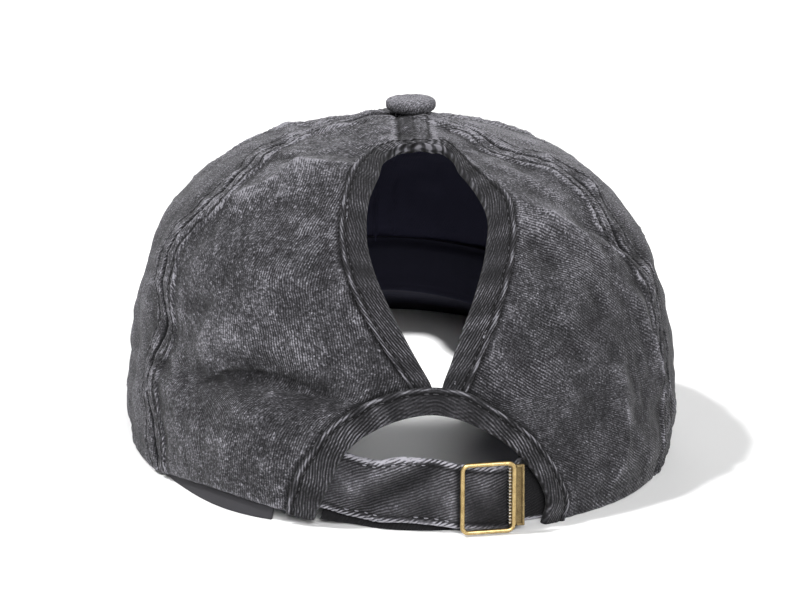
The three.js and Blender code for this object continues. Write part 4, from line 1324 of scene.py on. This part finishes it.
def tail():
    """The strap's free end, upright inside the strap and flared under its lower edge."""
    cols, rows = ((110, 40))
    x = np.linspace(-33.2, 23, cols)[None]
    k = np.linspace(0, 1, rows)[:, None]
    X, K = np.broadcast_arrays(x, k)
    low = curve(STRAP["x"], STRAP["low"], X)
    Z = 18.0 * K**1.4
    upright = curve(TAIL_COURSE["x"], TAIL_COURSE["n"], X)
    off = upright + 0.9 * np.maximum(0, low - Z)
    v = v_at(X, np.maximum(Z, 0.0))
    az = az_at(X, v)
    P0 = surface(az, v, off)
    ripple = 0.08 * CREASE(P0) * smooth(Z / 3)
    outer = surface(az, v, off + ripple)
    inner = surface(az, v, off + ripple - 1.2)
    inner[0, :, 2] = outer[0, :, 2]
    coords = np.stack([X, Z, 0 * X + 150], -1)
    # the free end takes the strap's twill painted dark as shade
    obj = wall("strap_free_end", outer, inner, {"cloth": coords, "wear": 0 * Z + 0.2 * bump(Z, 0.6)}, [TAIL_SHADED_TWILL])
    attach(obj, "root")
    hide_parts("strap_tail")
    return obj


# how far the free end's outer face lies inside (-) the crown surface
TAIL_COURSE = columns("""
    x    n
    -46  -5.8
    -33  -5.8
    -25  -5.7
    -20  -4.9
    -16  -4.0
    -8   -3.6
    28   -3.6
""")
tail_obj = tail()


def tab():
    cols, rows = 60, 50
    x = np.linspace(28.2, 45, cols)[None]
    t = np.linspace(0, 1, rows)[:, None]
    X, T = np.broadcast_arrays(x, t)
    low = curve([28, 31, 36, 45], [0.2, 0.2, 0.3, 0.9], X)
    Z = low + (18.4 - low) * T
    v = v_at(X, Z)
    az = az_at(X, v)
    d = np.minimum(np.minimum(T, 1 - T) * 16.2, 99)
    r = 0.8
    half_t = r * np.sqrt(np.clip(1 - (1 - np.clip(d / r, 0, 1)) ** 2, 0, 1))
    P0 = surface(az, v, -3.8)
    noise = 0.2 * CREASE(P0) + 0.1 * FINE(P0)
    outer = surface(az, v, -3.8 - r + half_t + noise)
    inner = surface(az, v, -3.8 - r - half_t + noise)
    # pale edges and a pale line just above the lower edge; the stitch line painted dark as shade; the whole tab darker
    wear = 0.6 * bump(d - 0.3, 0.6) - 0.85 + 1.5 * bump(Z - low - 0.6, 0.7) - 0.3 * bump(d - 2.2, 0.5)
    coords = np.stack([X, Z, 0 * X + 120], -1)
    obj = wall("tab_holding_buckle", outer, inner, {"cloth": coords, "wear": wear}, [STRAP_TWILL])
    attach(obj, "root")
    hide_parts("buckle_tab")
    return obj


tab_obj = tab()

# --------------------------------------------------------------- the buckle
BUCKLE = {"width": 17.0, "height": 22.0, "wire": 1.5, "corner": 1.9, "x": 15.7, "z": 11.2, "lift": 1.5}
_v = v_at(BUCKLE["x"], BUCKLE["z"])
_az = az_at(BUCKLE["x"], _v)
_out = normal(_az, _v)
_up = np.array([0, 0, 1.0]) - _out * _out[2]
_up /= np.linalg.norm(_up)
_right = np.cross(_up, _out)
_seat = surface(_az, _v, BUCKLE["lift"])


def seated(local):
    local = np.asarray(local, float)
    return _seat + local[..., :1] * _right + local[..., 1:2] * _up + local[..., 2:] * _out


def buckle_frame():
    w, h = BUCKLE["width"] / 2 - BUCKLE["wire"] / 2, BUCKLE["height"] / 2 - BUCKLE["wire"] / 2
    c = BUCKLE["corner"]
    line = []
    for cx, cy, a0 in ((w - c, -h + c, -90), (w - c, h - c, 0), (-w + c, h - c, 90), (-w + c, -h + c, 180)):
        for a in np.linspace(a0, a0 + 90, 14):
            line.append((cx + c * math.cos(a * DEG), cy + c * math.sin(a * DEG)))
    line = np.array(line + [line[0]])
    s = arc_length(line)
    n = 220
    u = np.linspace(0, s[-1], n, endpoint=False)
    p = np.stack([np.interp(u, s, line[:, i]) for i in range(2)], -1)
    p[:, 0] += 0.012 * p[:, 1]
    d = np.roll(p, -1, 0) - np.roll(p, 1, 0)
    d /= np.linalg.norm(d, axis=1, keepdims=True)
    side = np.stack([d[:, 1], -d[:, 0]], -1)
    around = 18
    a = np.linspace(0, 2 * math.pi, around, endpoint=False)
    r = BUCKLE["wire"] / 2
    # slightly flattened drawn wire
    ca, sa = np.sign(np.cos(a)) * np.abs(np.cos(a)) ** 0.85, np.sign(np.sin(a)) * np.abs(np.sin(a)) ** 0.85
    rings = np.concatenate([
        p[:, None] + side[:, None] * (r * 0.9 * ca)[None, :, None],
        (r + r * sa)[None, :, None] + np.zeros((n, 1, 1)),
    ], -1)
    pts = seated(rings)
    coords = np.stack([np.broadcast_to(u[:, None], (n, around)), np.broadcast_to(a[None] * r, (n, around)), np.zeros((n, around))], -1)
    wear = 0.6 * np.broadcast_to(np.maximum(0, sa)[None], (n, around)) - 0.2
    obj = tube("buckle_wire_frame", pts, {"cloth": coords, "wear": wear}, [BRASS], closed=True)
    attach(obj, "root")
    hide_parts("buckle_frame")
    return obj


def box_mesh(lo, hi, bevel):
    """Corner points and faces of a block with all its edges broken."""
    c = (np.array(lo) + hi) / 2
    h = (np.array(hi) - lo) / 2
    pts, index = [], {}
    for sx in (-1, 1):
        for sy in (-1, 1):
            for sz in (-1, 1):
                for axis in range(3):
                    off = h - bevel
                    off = np.where(np.arange(3) == axis, h, off)
                    index[(sx, sy, sz, axis)] = len(pts)
                    pts.append(c + np.array([sx, sy, sz]) * off)
    faces = []
    for axis in range(3):
        o1, o2 = [k for k in range(3) if k != axis]
        for sign in (-1, 1):
            ring = []
            for a, b in ((-1, -1), (1, -1), (1, 1), (-1, 1)):
                sg = [0, 0, 0]
                sg[axis], sg[o1], sg[o2] = sign, a, b
                ring.append(index[(*sg, axis)])
            faces.append(ring)
    for o in range(3):
        a, b = [k for k in range(3) if k != o]
        for sa in (-1, 1):
            for sb in (-1, 1):
                ring = []
                for so, ax in ((-1, a), (1, a), (1, b), (-1, b)):
                    sg = [0, 0, 0]
                    sg[a], sg[b], sg[o] = sa, sb, so
                    ring.append(index[(*sg, ax)])
                faces.append(ring)
    for sx in (-1, 1):
        for sy in (-1, 1):
            for sz in (-1, 1):
                faces.append([index[(sx, sy, sz, k)] for k in range(3)])
    pts = np.array(pts)
    fixed = []
    for f in faces:
        q = pts[f]
        n = np.cross(q[1] - q[0], q[2] - q[0])
        fixed.append(f if n @ (q.mean(0) - c) > 0 else f[::-1])
    return pts, fixed


def buckle_clamp():
    left = BUCKLE["width"] / 2 - BUCKLE["wire"] - 0.4
    right = left + 4.6
    tall = 9.3
    blocks = [box_mesh((left, -tall, -1.0), (right, tall, -0.45), 0.12)]
    # raised rim round the part that shows beside the bar
    x0 = BUCKLE["width"] / 2 + 0.25
    blocks.append(box_mesh((right - 0.75, -tall, -0.62), (right, tall, 0.12), 0.14))
    blocks.append(box_mesh((x0, -tall, -0.62), (right - 0.6, -tall + 0.75, 0.10), 0.14))
    blocks.append(box_mesh((x0, tall - 0.75, -0.62), (right - 0.6, tall, 0.10), 0.14))
    teeth = 18
    pitch = (2 * tall - 1.0) / teeth
    plate_faces = sum(len(f) for _, f in blocks)
    for k in range(teeth):
        y = -tall + 0.6 + (k + 0.5) * pitch
        p, f = box_mesh((left - 0.24, y - 0.21, -0.95), (left + 0.6, y + 0.21, 0.25), 0.10)
        p = p.copy()
        tip = p[:, 0] < left - 0.2
        p[tip, 1] = y + (p[tip, 1] - y) * 0.45
        p[tip, 2] -= 0.25
        blocks.append((p, f))
    pts, faces = [], []
    for p, f in blocks:
        base = sum(len(q) for q in pts)
        pts.append(p)
        faces += [[base + i for i in face] for face in f]
    local = np.concatenate(pts)
    obj = add_object("buckle_clamp_plate", seated(local), faces,
                     {"cloth": local, "wear": np.where(local[:, 2] > -0.3, 0.35, -0.35)}, [BRASS_PLATE, BRASS_TIPS],
                     [0 if i < plate_faces else 1 for i in range(len(faces))], smooth_faces=False)
    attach(obj, "root")
    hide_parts("buckle_clamp")
    return obj


frame_obj = buckle_frame()
clamp_obj = buckle_clamp()


# -------------------------------------------------------------- the sheets
def side_area(obj):
    """Half of a thin piece's skin, in square metres."""
    return sum(p.area for p in obj.data.polygons) / 2


# ----------------------------------------------------------- the photograph
# the camera: 744 mm away, 240 mm up, looking 14.6 degrees down, 5.5 degrees
# round to the cap's left
TURN = 5.5 * DEG
away, up_mm, pitch_deg = 744.0, 240.0, 14.6
eye = np.array([-away * math.sin(TURN), -away * math.cos(TURN), up_mm])
look = Vector((math.sin(TURN) * math.cos(pitch_deg * DEG), math.cos(TURN) * math.cos(pitch_deg * DEG), -math.sin(pitch_deg * DEG)))
cam_data = bpy.data.cameras.new("camera")
cam_data.sensor_width = 36.0
cam_data.lens = 2330.0 * 36.0 / 800.0
cam_data.clip_start, cam_data.clip_end = 0.01, 50.0
camera = bpy.data.objects.new("camera", cam_data)
bpy.context.scene.collection.objects.link(camera)
camera.location = Vector(part(eye))
camera.rotation_euler = look.to_track_quat("-Z", "Y").to_euler()
bpy.context.scene.camera = camera


def plain(name, level, rough):
    t = Nodes(name)
    grain = t.noise(t.node("ShaderNodeTexCoord").outputs["Object"], 220.0, 2.0)
    return t.finish((level, level, level, 1.0), t.math("ADD", rough, t.math("MULTIPLY", grain, 0.02)), Specular_IOR_Level=0.0)


floor_mesh = bpy.data.meshes.new("floor")
floor_mesh.from_pydata([(-30, -30, 0), (30, -30, 0), (30, 30, 0), (-30, 30, 0)], [], [(0, 1, 2, 3)])
floor_mesh.materials.append(plain("floor_white", 0.9, 0.9))
floor = bpy.data.objects.new("floor", floor_mesh)
bpy.context.scene.collection.objects.link(floor)
floor.location = (0, 0, -0.00005)


def sun(name, azimuth, elevation, strength, angle, colour=(1, 1, 1)):
    """azimuth is where the light stands: 0 behind the cap's back (-Y), 90 on +X."""
    data = bpy.data.lights.new(name, "SUN")
    data.energy = strength
    data.angle = angle * DEG
    data.color = colour
    obj = bpy.data.objects.new(name, data)
    bpy.context.scene.collection.objects.link(obj)
    a, e = azimuth * DEG, elevation * DEG
    source = Vector((math.sin(a) * math.cos(e), -math.cos(a) * math.cos(e), math.sin(e)))
    obj.rotation_euler = source.to_track_quat("Z", "Y").to_euler()
    obj.location = source
    return obj


def only_on(light, *receivers):
    """Keep a light to a few receivers; everything still shades it."""
    group = bpy.data.collections.new(light.name + "_on")
    for r in receivers:
        group.objects.link(r)
    light.light_linking.receiver_collection = group


def lamp(name, kind, at, toward, power, radius, **more):
    data = bpy.data.lights.new(name, kind)
    data.energy = power
    data.shadow_soft_size = radius
    for k, v in more.items():
        setattr(data, k, v)
    obj = bpy.data.objects.new(name, data)
    bpy.context.scene.collection.objects.link(obj)
    obj.location = Vector(part(at))
    obj.rotation_euler = (Vector(at) - Vector(toward)).to_track_quat("Z", "Y").to_euler()
    obj.visible_camera = False
    obj.visible_glossy = False
    return obj


sun("key", -91.5, 61, 2.3, 4.0)
sun("fill", 5.0, 33.0, 3.1, 34.0)
sun("back_fill", 178, 16, 0.9, 30.0)
sun("side_fill", 95, 18, 0.5, 30.0)
# the beam that falls through the top of the teardrop on to the floor inside
BEAM = np.array([math.sin(-4 * DEG) * math.cos(31.2 * DEG), -math.cos(-4 * DEG) * math.cos(31.2 * DEG), math.sin(31.2 * DEG)])
aim = np.array([2.0, -55.0, 157.0])
only_on(lamp("beam", "SPOT", aim + BEAM * 800, aim, 107.0, 0.014, spot_size=math.radians(11.4), spot_blend=0.15), floor)
# a little light under the brim
only_on(lamp("under_brim", "POINT", (-16.0, 144.0, 7.8), (-16.0, 144.0, 0.0), 0.0080, 0.004), floor)

world = bpy.data.worlds.new("studio")
bpy.context.scene.world = world
world.use_nodes = True
wt = world.node_tree
wt.nodes.clear()
path = wt.nodes.new("ShaderNodeLightPath")
either = wt.nodes.new("ShaderNodeMath")
either.operation = "MAXIMUM"
wt.links.new(path.outputs["Is Camera Ray"], either.inputs[0])
wt.links.new(path.outputs["Is Glossy Ray"], either.inputs[1])
soft = wt.nodes.new("ShaderNodeBackground")
soft.inputs["Color"].default_value = (1, 1, 1, 1)
soft.inputs["Strength"].default_value = 0.17
bright = wt.nodes.new("ShaderNodeBackground")
bright.inputs["Color"].default_value = (1, 1, 1, 1)
bright.inputs["Strength"].default_value = 1.0
mix = wt.nodes.new("ShaderNodeMixShader")
wt.links.new(either.outputs[0], mix.inputs[0])
wt.links.new(soft.outputs[0], mix.inputs[1])
wt.links.new(bright.outputs[0], mix.inputs[2])
wout = wt.nodes.new("ShaderNodeOutputWorld")
wt.links.new(mix.outputs[0], wout.inputs["Surface"])

bpy.context.scene.view_settings.view_transform = "Standard"
bpy.context.scene.view_settings.look = "None"
bpy.context.scene.view_settings.exposure = 0.0
bpy.context.scene.view_settings.gamma = 1.0
